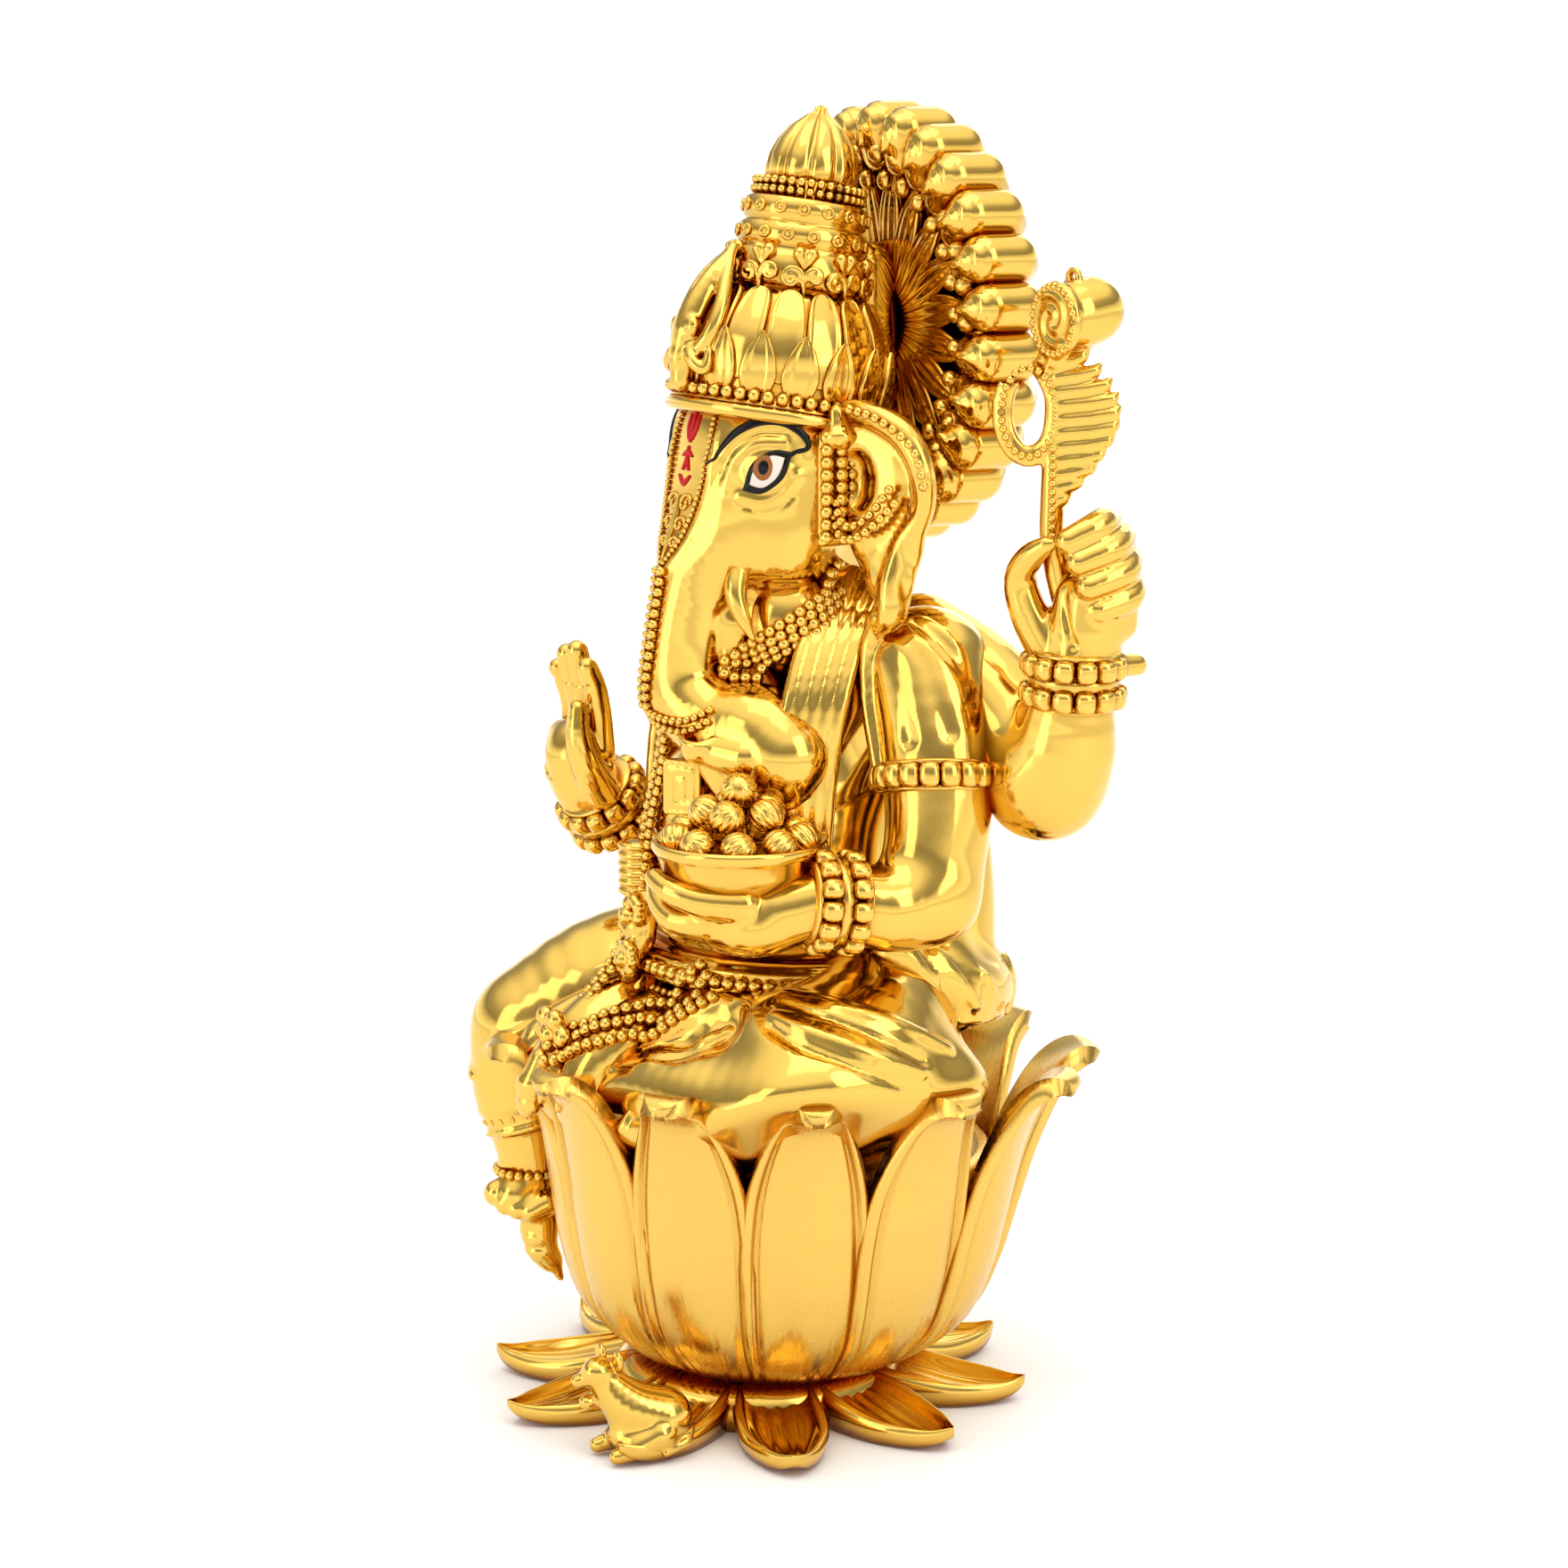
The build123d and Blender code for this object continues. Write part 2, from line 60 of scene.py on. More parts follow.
# %% [markdown]
# ## Plated gold
# Electroplated gold is a mirror: a metallic Principled surface with little
# roughness.  In the folds the real metal reflects itself and turns from pale
# yellow to amber; here that amber is painted shade.  An Ambient Occlusion node
# finds the folds and paints a darker amber into the base colour there.  The lotus
# has a softer, combed gold, so a stretched noise gives its roughness and a faint bump.


# %% Gold finishes
def new_material(name):
    material = bpy.data.materials.new(name)
    material.use_nodes = True
    tree = material.node_tree
    return material, tree, tree.nodes["Principled BSDF"]


def plated_gold(name, face, fold_shade, rough, reach=5.0, comb=0.0, ripple=0.0):
    """Gold with a lit face colour, a darker fold colour painted in as shade, and combed lines if comb is not
    0.
    """
    material, tree, shader = new_material(name)
    shader.inputs["Metallic"].default_value = 1.0
    shader.inputs["Roughness"].default_value = rough
    # Painted shade: ambient occlusion blends the base colour from the face colour to the darker amber fold
    # colour in creases and hollows.
    fold_shade_ao = tree.nodes.new("ShaderNodeAmbientOcclusion")
    fold_shade_ao.samples = 6
    fold_shade_ao.inputs["Distance"].default_value = reach * MM
    tone = tree.nodes.new("ShaderNodeValToRGB")
    tone.color_ramp.elements[0].position = 0.25
    tone.color_ramp.elements[0].color = (*fold_shade, 1)
    tone.color_ramp.elements[1].position = 0.85
    tone.color_ramp.elements[1].color = (*face, 1)
    tree.links.new(fold_shade_ao.outputs["AO"], tone.inputs["Fac"])
    tree.links.new(tone.outputs["Color"], shader.inputs["Base Color"])
    where = tree.nodes.new("ShaderNodeTexCoord")
    if comb:
        stretch = tree.nodes.new("ShaderNodeMapping")
        stretch.inputs["Scale"].default_value = (1100, 1100, 40)
        grain = tree.nodes.new("ShaderNodeTexNoise")
        grain.inputs["Scale"].default_value = 1.0
        grain.inputs["Detail"].default_value = 3.0
        spread = tree.nodes.new("ShaderNodeMapRange")
        spread.inputs["To Min"].default_value = rough * 0.6
        spread.inputs["To Max"].default_value = rough * 1.5
        bump = tree.nodes.new("ShaderNodeBump")
        bump.inputs["Strength"].default_value = comb
        bump.inputs["Distance"].default_value = 0.15 * MM
        tree.links.new(where.outputs["Object"], stretch.inputs["Vector"])
        tree.links.new(stretch.outputs["Vector"], grain.inputs["Vector"])
        tree.links.new(grain.outputs["Fac"], spread.inputs["Value"])
        tree.links.new(spread.outputs["Result"], shader.inputs["Roughness"])
        tree.links.new(grain.outputs["Fac"], bump.inputs["Height"])
        tree.links.new(bump.outputs["Normal"], shader.inputs["Normal"])
    elif ripple:
        wobble = tree.nodes.new("ShaderNodeTexNoise")
        wobble.inputs["Scale"].default_value = 90.0
        wobble.inputs["Detail"].default_value = 2.0
        bump = tree.nodes.new("ShaderNodeBump")
        bump.inputs["Strength"].default_value = ripple
        bump.inputs["Distance"].default_value = 1.0 * MM
        tree.links.new(where.outputs["Object"], wobble.inputs["Vector"])
        tree.links.new(wobble.outputs["Fac"], bump.inputs["Height"])
        tree.links.new(bump.outputs["Normal"], shader.inputs["Normal"])
    return material


# Each gold: a lit face colour, then a darker amber painted into its folds as shade, then roughness.
GOLD = plated_gold("mirror_gold", (0.78, 0.50, 0.10), (0.50, 0.185, 0.006), 0.12, ripple=0.10)
BEAD_GOLD = plated_gold("bead_gold", (0.80, 0.51, 0.105), (0.42, 0.145, 0.004), 0.16, reach=2.5)
SATIN_GOLD = plated_gold("satin_gold", (0.77, 0.49, 0.105), (0.48, 0.175, 0.006), 0.24, reach=9, comb=0.5)
print("gold finishes:", GOLD.name, BEAD_GOLD.name, SATIN_GOLD.name)

# %% [markdown]
# ## Clay
# Soft forms such as a head or a folded cloth are modelled like clay: balls, eggs
# and rods melt into each other, and lines are pressed in or laid on.  Each lump
# is a signed distance on a small grid: below zero is inside.  The smooth minimum
# of two distances is a fillet, and OpenVDB turns the zero level into a mesh.


# %% Clay tools
def turn_matrix(turn):
    x, y, z = (radians(t) for t in turn)
    rot = Matrix.Rotation(z, 3, "Z") @ Matrix.Rotation(y, 3, "Y") @ Matrix.Rotation(x, 3, "X")
    return np.array(rot, np.float32)


CLAY_GRAIN = 1.16  # coarsens every clay grid a little, to keep the whole object light


class Clay:
    def __init__(self, low, high, voxel):
        voxel *= CLAY_GRAIN
        self.low, self.voxel = np.array(low, np.float32), voxel
        count = np.ceil((np.array(high) - self.low) / voxel).astype(int) + 1
        self.axes = [self.low[i] + voxel * np.arange(count[i], dtype=np.float32) for i in range(3)]
        self.d = np.full(count, 50.0, np.float32)
        self.lumpy = True

    def soften(self, passes):
        """Blends neighbouring readings, so joints between rods do not show."""
        d = np.clip(self.d, -8, 8)
        for _ in range(passes):
            for axis in range(3):
                pad = np.concatenate([d.take([0], axis), d, d.take([-1], axis)], axis)
                n = d.shape[axis]
                d = (pad.take(range(0, n), axis) + 2 * d + pad.take(range(2, n + 2), axis)) / 4
        self.d, self.lumpy = d.astype(np.float32), False

    def patch(self, points, reach):
        """The part of the grid within reach of the points, and its coordinates."""
        pts = np.array(points, np.float32).reshape(-1, 3)
        a = np.floor((pts.min(0) - reach - self.low) / self.voxel).astype(int)
        b = np.ceil((pts.max(0) + reach - self.low) / self.voxel).astype(int) + 1
        part = tuple(slice(max(0, i), max(0, j)) for i, j in zip(a, b))
        x, y, z = (axis[s] for axis, s in zip(self.axes, part))
        return part, (x[:, None, None], y[None, :, None], z[None, None, :])

    def melt(self, part, e, blend, sign=1):
        d = self.d[part]
        if sign < 0:
            d, e = -d, e
        if blend > 0:
            h = np.clip(blend - np.abs(d - e), 0, None) / blend
            out = np.minimum(d, e) - h * h * blend * 0.25
        else:
            out = np.minimum(d, e)
        self.d[part] = out if sign > 0 else -out

    def egg(self, at, radii, blend=3.0, turn=(0, 0, 0), sign=1):
        r = np.array(radii, np.float32)
        part, (x, y, z) = self.patch([at], r.max() + blend + 3 * self.voxel)
        m = turn_matrix(turn).T
        p = [x - at[0], y - at[1], z - at[2]]
        q = [m[i, 0] * p[0] + m[i, 1] * p[1] + m[i, 2] * p[2] for i in range(3)]
        k0 = np.sqrt(sum((c / s) ** 2 for c, s in zip(q, r)))
        k1 = np.sqrt(sum((c / (s * s)) ** 2 for c, s in zip(q, r)))
        self.melt(part, k0 * (k0 - 1) / np.maximum(k1, 1e-4), blend, sign)
        return self

    def along(self, grid, points, radii=None):
        """Distance to a path, less its radius there."""
        x, y, z = grid
        best = None
        for i in range(len(points) - 1):
            p, q = np.array(points[i], np.float32), np.array(points[i + 1], np.float32)
            v = q - p
            t = ((x - p[0]) * v[0] + (y - p[1]) * v[1] + (z - p[2]) * v[2]) / max(float(v @ v), 1e-6)
            t = np.clip(t, 0, 1)
            e = np.sqrt((x - p[0] - t * v[0]) ** 2 + (y - p[1] - t * v[1]) ** 2 + (z - p[2] - t * v[2]) ** 2)
            if radii is not None:
                e = e - (radii[i] + t * (radii[i + 1] - radii[i]))
            best = e if best is None else np.minimum(best, e)
        return best

    def rod(self, points, radii, blend=3.0, sign=1, curved=0):
        radii = [radii] * len(points) if np.isscalar(radii) else list(radii)
        if curved:
            points, radii = smooth_path(points, curved, radii)
        part, grid = self.patch(points, max(radii) + blend + 3 * self.voxel)
        self.melt(part, self.along(grid, points, radii), blend, sign)
        return self

    def slab(self, at, half, round_by=1.0, blend=2.0, turn=(0, 0, 0), sign=1):
        h = np.array(half, np.float32) - round_by
        part, (x, y, z) = self.patch([at], float(np.linalg.norm(half)) + blend + 3 * self.voxel)
        m = turn_matrix(turn).T
        p = [x - at[0], y - at[1], z - at[2]]
        q = [np.abs(m[i, 0] * p[0] + m[i, 1] * p[1] + m[i, 2] * p[2]) - h[i] for i in range(3)]
        out = np.sqrt(sum(np.maximum(c, 0) ** 2 for c in q)) + np.minimum(np.maximum(np.maximum(q[0], q[1]),
                                                                                     q[2]), 0)
        self.melt(part, out - round_by, blend, sign)
        return self

    def trim(self, radius, slope, height, blend=3.0):
        """Keeps only what lies inside a cone about the lotus axis."""
        x, y, z = self.axes
        wall = np.sqrt(x[:, None, None] ** 2 + y[None, :, None] ** 2) - radius - slope * (z[None, None,
                                                                                            :] - height)
        self.melt((slice(None),) * 3, -wall, blend, -1)
        return self

    def line(self, points, width, depth, curved=6):
        """Press a line in (depth above 0) or raise a ridge (below 0)."""
        if self.lumpy:
            self.soften(5 if self.voxel > 0.55 * CLAY_GRAIN else 1)
        if curved:
            points = smooth_path(points, curved)
        part, grid = self.patch(points, width * 2.6)
        e = self.along(grid, points)
        self.d[part] += (depth * np.exp(-((e / width) ** 2))).astype(np.float32)
        return self

    def value(self, points):
        """Distance at points, by trilinear reading."""
        g = (np.asarray(points, float) - self.low) / self.voxel
        top = np.array(self.d.shape) - 2
        i = np.clip(np.floor(g).astype(int), 0, top)
        f = np.clip(g - i, 0, 1)
        out = 0
        for dx in (0, 1):
            for dy in (0, 1):
                for dz in (0, 1):
                    w = abs(1 - dx - f[:, 0]) * abs(1 - dy - f[:, 1]) * abs(1 - dz - f[:, 2])
                    out = out + w * self.d[i[:, 0] + dx, i[:, 1] + dy, i[:, 2] + dz]
        inside = np.all((g > -1) & (g < top + 2), axis=1)
        return np.where(inside, out, 50.0)

    def mesh(self):
        if self.lumpy:
            self.soften(5 if self.voxel > 0.55 * CLAY_GRAIN else 1)
        edge = self.d
        for axis in range(3):
            for end in (0, -1):
                face = [slice(None)] * 3
                face[axis] = end
                edge[tuple(face)] = np.maximum(edge[tuple(face)], 0.5)
        grid = openvdb.FloatGrid(background=50.0)
        grid.copyFromArray(edge)
        points, quads = grid.convertToQuads(isovalue=0.0)
        return points * self.voxel + self.low, quads[:, ::-1]


def smooth_path(points, steps=6, radii=None):
    """A Catmull-Rom curve through points, and its radii if given."""
    rows = [list(p) + ([r] if radii is not None else []) for p, r in zip(points, radii or points)]
    p = np.array([rows[0]] + rows + [rows[-1]], float)
    out = []
    for i in range(1, len(p) - 2):
        for t in np.arange(steps) / steps:
            out.append(0.5 * (2 * p[i] + (p[i + 1] - p[i - 1]) * t
                              + (2 * p[i - 1] - 5 * p[i] + 4 * p[i + 1] - p[i + 2]) * t * t
                              + (3 * p[i] - p[i - 1] - 3 * p[i + 1] + p[i + 2]) * t ** 3))
    out.append(p[-2])
    out = np.array(out)
    return (out[:, :3], list(out[:, 3])) if radii is not None else out


def settle(points, clays, lift=0.0, rounds=12):
    """Slides points onto the skin of the nearest clay, raised by lift."""
    pts = np.array(points, float)

    def near(q):
        return np.min([c.value(q) for c in clays], axis=0)

    for _ in range(rounds):
        d = near(pts)
        slope = np.stack([near(pts + axis * 0.6) - near(pts - axis * 0.6) for axis in np.eye(3)], 1)
        slope /= np.maximum(np.linalg.norm(slope, axis=1, keepdims=True), 1e-6)
        pts -= np.clip(d - lift, -1.5, 1.5)[:, None] * slope
    return pts


print("clay tools ready")

# %% [markdown]
# ## Finishing a piece
# Each finished mesh is joined into one object, smoothed, given its gold, tied to
# the one body of the statue, and named as the stand-in for its casting.


# %% Finish helpers
def mesh_object(name, points, faces, material, shade=True):
    mesh = bpy.data.meshes.new(name)
    mesh.from_pydata(np.asarray(points, float) * MM, [], [tuple(int(i) for i in f) for f in faces])
    mesh.materials.append(material)
    mesh.polygons.foreach_set("use_smooth", [shade] * len(mesh.polygons))
    obj = bpy.data.objects.new(name, mesh)
    bpy.context.scene.collection.objects.link(obj)
    return obj


def mirrored(side, points):
    """Points for the figure's left (side 1) or its right (side -1)."""
    return [(side * x, y, z) for x, y, z in points]


def copied(obj):
    """A second object with its own mesh."""
    twin = obj.copy()
    twin.data = obj.data.copy()
    bpy.context.scene.collection.objects.link(twin)
    return twin


def clay_object(name, clay, material=None):
    points, quads = clay.mesh()
    return mesh_object(name, points, quads, material or GOLD)


def joined(name, objects):
    """One object from several, keeping their materials."""
    if len(objects) > 1:
        with bpy.context.temp_override(active_object=objects[0], selected_editable_objects=objects,
                                       selected_objects=objects):
            bpy.ops.object.join()
    objects[0].name = objects[0].data.name = name
    return objects[0]


def hand_in(obj, slot, *nodes):
    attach(obj, "root")
    if nodes:
        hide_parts(*nodes)
    print(f"{obj.name}: {len(obj.data.polygons)} faces")
    return obj


def plain_mesh(obj, name):
    """Turns live modifiers into a plain mesh and takes the modifiers off."""
    seen = obj.evaluated_get(bpy.context.evaluated_depsgraph_get())
    mesh = bpy.data.meshes.new_from_object(seen)
    obj.modifiers.clear()
    done = bpy.data.objects.new(name, mesh)
    bpy.context.scene.collection.objects.link(done)
    bpy.data.objects.remove(obj)
    mesh.polygons.foreach_set("use_smooth", [True] * len(mesh.polygons))
    return done

# %% [markdown]
# ## Repeats by Geometry Nodes
# A lotus is one petal, repeated round a ring; a necklace is one bead, repeated
# along a path.  Two small node trees do both jobs.  Their sizes are named
# inputs, set on the modifier by the socket's identifier.


# %% Node tree helpers
def new_tree(name, inputs):
    tree = bpy.data.node_groups.new(name, "GeometryNodeTree")
    tree.interface.new_socket("Geometry", in_out="INPUT", socket_type="NodeSocketGeometry")
    tree.interface.new_socket("Geometry", in_out="OUTPUT", socket_type="NodeSocketGeometry")
    for label, kind in inputs:
        tree.interface.new_socket(label, in_out="INPUT", socket_type="NodeSocket" + kind)
    return tree, tree.nodes.new("NodeGroupInput"), tree.nodes.new("NodeGroupOutput")


def math_node(tree, operation, a, b=None):
    node = tree.nodes.new("ShaderNodeMath")
    node.operation = operation
    for socket, value in zip(node.inputs, (a, b)):
        if isinstance(value, bpy.types.NodeSocket):
            tree.links.new(value, socket)
        elif value is not None:
            socket.default_value = value
    return node.outputs[0]


def finish_tree(tree, group, out, instances):
    real = tree.nodes.new("GeometryNodeRealizeInstances")
    paint = tree.nodes.new("GeometryNodeSetMaterial")
    tree.links.new(instances, real.inputs[0])
    tree.links.new(real.outputs[0], paint.inputs["Geometry"])
    tree.links.new(group.outputs["Material"], paint.inputs["Material"])
    tree.links.new(paint.outputs[0], out.inputs[0])


def run_tree(obj, tree, name, **values):
    """Adds the tree to obj, sets its named inputs, and returns the plain mesh."""
    modifier = obj.modifiers.new(tree.name, "NODES")
    modifier.node_group = tree
    for item in tree.interface.items_tree:
        key = item.name.replace(" ", "_").lower()
        if item.in_out == "INPUT" and key in values:
            modifier[item.identifier] = values[key]
    return plain_mesh(obj, name)


# %% [markdown]
# ### A ring of copies
# The tree puts a point for each copy on a circle, turns it to face outwards and
# leans it.  A separate lean for the rear lets the throne open at the back.

# %% Ring tree: copies of a petal round an axis
ring_tree, group, out = new_tree("petal_ring", (
    ("Count", "Int"), ("Foot Radius", "Float"), ("Foot Height", "Float"), ("First Angle", "Float"),
    ("Lean", "Float"), ("Rear Lean", "Float"), ("Material", "Material")))
number = ring_tree.nodes.new("GeometryNodeInputIndex").outputs[0]
step = math_node(ring_tree, "DIVIDE", 2 * pi, group.outputs["Count"])
angle = math_node(ring_tree, "ADD", math_node(ring_tree, "MULTIPLY", number, step),
                  group.outputs["First Angle"])
rear = math_node(ring_tree, "MULTIPLY", math_node(ring_tree, "ADD", math_node(ring_tree, "SINE", angle),
                                                  1.0), 0.5)
rear = math_node(ring_tree, "POWER", rear, 2.2)
lean = math_node(ring_tree, "ADD", group.outputs["Lean"],
                 math_node(ring_tree, "MULTIPLY", rear, group.outputs["Rear Lean"]))
place = ring_tree.nodes.new("ShaderNodeCombineXYZ")
turn = ring_tree.nodes.new("ShaderNodeCombineXYZ")
points = ring_tree.nodes.new("GeometryNodePoints")
copies = ring_tree.nodes.new("GeometryNodeInstanceOnPoints")
radius = group.outputs["Foot Radius"]
for value, socket in (
        (math_node(ring_tree, "MULTIPLY", math_node(ring_tree, "COSINE", angle), radius), place.inputs[0]),
        (math_node(ring_tree, "MULTIPLY", math_node(ring_tree, "SINE", angle), radius), place.inputs[1]),
        (group.outputs["Foot Height"], place.inputs[2]), (lean, turn.inputs[1]), (angle, turn.inputs[2]),
        (group.outputs["Count"], points.inputs["Count"]), (place.outputs[0], points.inputs["Position"]),
        (points.outputs[0], copies.inputs["Points"]),
        (group.outputs["Geometry"], copies.inputs["Instance"]),
        (turn.outputs[0], copies.inputs["Rotation"])):
    ring_tree.links.new(value, socket)
finish_tree(ring_tree, group, out, copies.outputs[0])


def ring_of(petal, name, material, count, foot_radius=0.0, foot_height=0.0, first=0.0, lean=0.0,
            rear_lean=0.0):
    """Repeats a petal modelled at its foot, +X outwards, round the vertical axis."""
    return run_tree(petal, ring_tree, name, count=count, foot_radius=foot_radius * MM,
                    foot_height=foot_height * MM, first_angle=radians(first), lean=radians(lean),
                    rear_lean=radians(rear_lean), material=material)


# %% [markdown]
# ### A string of beads
# The path becomes a curve, the curve is resampled to even steps, and a small ball
# is set on each step.  One mesh of edges may hold many strings.

# %% Bead tree: beads along every path of a mesh of edges
bead_tree, group, out = new_tree("bead_string", (
    ("Bead Radius", "Float"), ("Bead Spacing", "Float"), ("Roundness", "Int"), ("Material", "Material")))
to_curve = bead_tree.nodes.new("GeometryNodeMeshToCurve")
even = bead_tree.nodes.new("GeometryNodeResampleCurve")
even.mode = "LENGTH"
bead = bead_tree.nodes.new("GeometryNodeMeshIcoSphere")
thread = bead_tree.nodes.new("GeometryNodeInstanceOnPoints")
for value, socket in (
        (group.outputs["Geometry"], to_curve.inputs[0]), (to_curve.outputs[0], even.inputs["Curve"]),
        (group.outputs["Bead Spacing"], even.inputs["Length"]), (even.outputs[0], thread.inputs["Points"]),
        (group.outputs["Bead Radius"], bead.inputs["Radius"]),
        (group.outputs["Roundness"], bead.inputs["Subdivisions"]),
        (bead.outputs[0], thread.inputs["Instance"])):
    bead_tree.links.new(value, socket)
finish_tree(bead_tree, group, out, thread.outputs[0])


def beads(paths, radius, spacing=None, material=None, roundness=2):
    """Strings of beads on paths given as lists of points, in millimetres."""
    verts, edges = [], []
    for path in paths:
        start = len(verts)
        verts += [Vector(p) * MM for p in path]
        edges += [(start + i, start + i + 1) for i in range(len(path) - 1)]
    mesh = bpy.data.meshes.new("bead_path")
    mesh.from_pydata(verts, edges, [])
    obj = bpy.data.objects.new("bead_path", mesh)
    bpy.context.scene.collection.objects.link(obj)
    return run_tree(obj, bead_tree, "beads", bead_radius=radius * MM,
                    bead_spacing=(spacing or radius * 1.9) * MM,
                    roundness=roundness, material=material or BEAD_GOLD)


print("node trees:", ring_tree.name, bead_tree.name)

# %% [markdown]
# ## The lotus throne and its base leaves
# A petal is a curved shell: one formula gives its outer face, a second its inner
# face, and the two are stitched at the rim.  Fine grooves fan up from the foot and
# down from the tip, and a raised lip follows the edge.


# %% Shell helper
def shell(name, outer, inner, material):
    """A closed skin from two grids of points, outer face first."""
    rows, cols = outer.shape[:2]
    pts = np.concatenate([outer.reshape(-1, 3), inner.reshape(-1, 3)])
    n = rows * cols
    faces = []
    for i in range(rows - 1):
        for j in range(cols - 1):
            a = i * cols + j
            faces.append((a, a + 1, a + cols + 1, a + cols))
            faces.append((n + a, n + a + cols, n + a + cols + 1, n + a + 1))
    rim = [j for j in range(cols)] + [i * cols + cols - 1 for i in range(1, rows)]
    rim += [(rows - 1) * cols + j for j in range(cols - 2, -1, -1)]
    rim += [i * cols for i in range(rows - 2, 0, -1)]
    for a, b in zip(rim, rim[1:] + rim[:1]):
        faces.append((a, n + a, n + b, b))
    return mesh_object(name, pts, faces, material)


def curve_at(t, knots):
    """Reads smooth columns of numbers at t in 0..1 along evenly spaced rows."""
    path = smooth_path([(k + (0, 0, 0))[:3] for k in knots], 12)
    extra = smooth_path([(k + (0, 0, 0))[3:6] for k in knots], 12)
    s = np.linspace(0, 1, len(path))
    cols = [np.interp(t, s, path[:, i]) for i in range(3)] + [np.interp(t, s,
                                                                        extra[:, i]) for i in range(3)]
    return cols


# %% [markdown]
# ### The lotus petal
# A grid of points is shaped row by row from the foot to the tip.  Cosine and bell
# curves press the double line by the rim and the combed grooves into it.

# %% One lotus petal and the throne
PETALS, FIRST_PETAL, FOOT_RADIUS, FOOT_HEIGHT = 12, -24.0, 28.0, 9.0
rng = np.random.default_rng(7)
u, v = np.meshgrid(np.linspace(0, 1, 56), np.linspace(-1, 1, 49), indexing="ij")
# rows: reach outwards, height, half width, how round across, wall
reach, rise, wide, round_by, wall, _ = curve_at(u, [
    (1, 0, 7.8, 2.0, 3.0), (9.5, 4.6, 10.6, 3.0, 3.0), (18.6, 14, 13.2, 4.0, 3.0),
    (23.0, 26, 14.5, 4.6, 2.9),
    (25.4, 39, 14.9, 4.6, 2.8), (27.2, 51, 14.0, 3.8, 3.0), (29.4, 61, 11.6, 2.4, 3.6),
    (32.6, 68.6, 8.6, 1.4, 4.2),
    (37.0, 72.4, 6.0, 0.8, 4.4), (39.8, 71.8, 1.4, 0.2, 2.8)])
lip = 1.2 * np.exp(-(((np.abs(v) - 0.90) / 0.07) ** 2)) - 1.1 * np.exp(-(((np.abs(v) - 0.76) / 0.05) ** 2))
lip *= np.clip(u * 6, 0, 1) * np.clip((1 - u) * 9, 0, 1)
groove = np.zeros_like(u)
for _i in range(26):
    v0, foot = rng.uniform(-0.72, 0.72), rng.random() < 0.55
    length = rng.uniform(0.10, 0.34)
    fade = np.clip(1 - (u if foot else 1 - u) / length, 0, 1) ** 0.5
    groove += fade * np.exp(-(((v - v0 * (0.6 + 0.4 * u)) / 0.022) ** 2)) * rng.uniform(0.2, 0.42)
groove *= np.clip((1 - u) * 12, 0, 1)
bulge = reach - round_by * v ** 2 + lip - groove
outer = np.stack([bulge, wide * v, rise], -1)
run, climb = np.gradient(reach, axis=0), np.gradient(rise, axis=0)
slope = np.sqrt(run ** 2 + climb ** 2)
inner = np.stack([reach - wall * climb / slope - round_by * 0.8 * v ** 2, wide * v * 0.96,
                  rise + wall * run / slope], -1)
petal = shell("petal", outer, inner, SATIN_GOLD)
lotus = ring_of(petal, "lotus_petals", SATIN_GOLD, PETALS, FOOT_RADIUS, FOOT_HEIGHT, FIRST_PETAL,
                lean=-0.8, rear_lean=8.6)

# %% [markdown]
# ### The cup that carries the petals
# The throne is an open cup.  It is a solid of revolution, closed on its axis, with
# a wide seat inside for the deck.

# %% Turned cup, and the throne
def turned(name, profile, material, centre=(0, 0), steps=96):
    """A closed solid of revolution about a vertical axis, profile from axis to axis."""
    ring = np.linspace(0, 2 * pi, steps, endpoint=False)
    pts = [(centre[0], centre[1], profile[0][1])]
    for r, z in profile[1:-1]:
        pts += [(centre[0] + r * cos(a), centre[1] + r * sin(a), z) for a in ring]
    pts.append((centre[0], centre[1], profile[-1][1]))
    last, rows = len(pts) - 1, len(profile) - 2
    faces = [(0, 1 + (j + 1) % steps, 1 + j) for j in range(steps)]
    for i in range(rows - 1):
        for j in range(steps):
            a, b = 1 + i * steps + j, 1 + i * steps + (j + 1) % steps
            faces.append((a, b, b + steps, a + steps))
    faces += [(last, 1 + (rows - 1) * steps + j,
               1 + (rows - 1) * steps + (j + 1) % steps) for j in range(steps)]
    return mesh_object(name, pts, faces, material)


core = turned("lotus_core", [(0, 9.2), (28, 9.2), (35, 13), (43, 24), (48, 34), (50.5, 46), (51.5, 57),
                             (49, 60),
                             (44.5, 58), (44, 54.5), (0, 54.5)], SATIN_GOLD)
hand_in(joined("lotus_seat_skin", [core, lotus]), "satin_gold", "lotus_seat")

# %% [markdown]
# ### The leaves on the ground
# Ten flat leaves lie under the throne.  Each is a thick dish with a rolled rim and
# fine veins, so it is a shell like the petal, only flatter.

# %% One base leaf and the ring of leaves
LEAVES, BASE_Y = 10, -5.0
u, v = np.meshgrid(np.linspace(0, 1, 44), np.linspace(-1, 1, 37), indexing="ij")
along, height, wide, dish, _a, _b = curve_at(u, [
    (20, 8.6, 7.2, 0.2), (29, 8.4, 9.6, 0.8), (38, 7.0, 10.6, 1.6), (47, 5.4, 10.0, 2.0),
    (55, 4.6, 7.2, 1.5),
    (60.2, 4.9, 3.8, 0.8), (63.6, 6.2, 0.5, 0.1)])
edge = np.exp(-(((np.abs(v) - 0.82) / 0.14) ** 2))
vein = 0.32 * np.cos(v * 19) * np.clip(1 - np.abs(v) * 1.1, 0, 1) * np.clip(1.2 - u, 0, 1)
rim = 1.5 * edge * np.clip(3 * (1 - u), 0, 1)
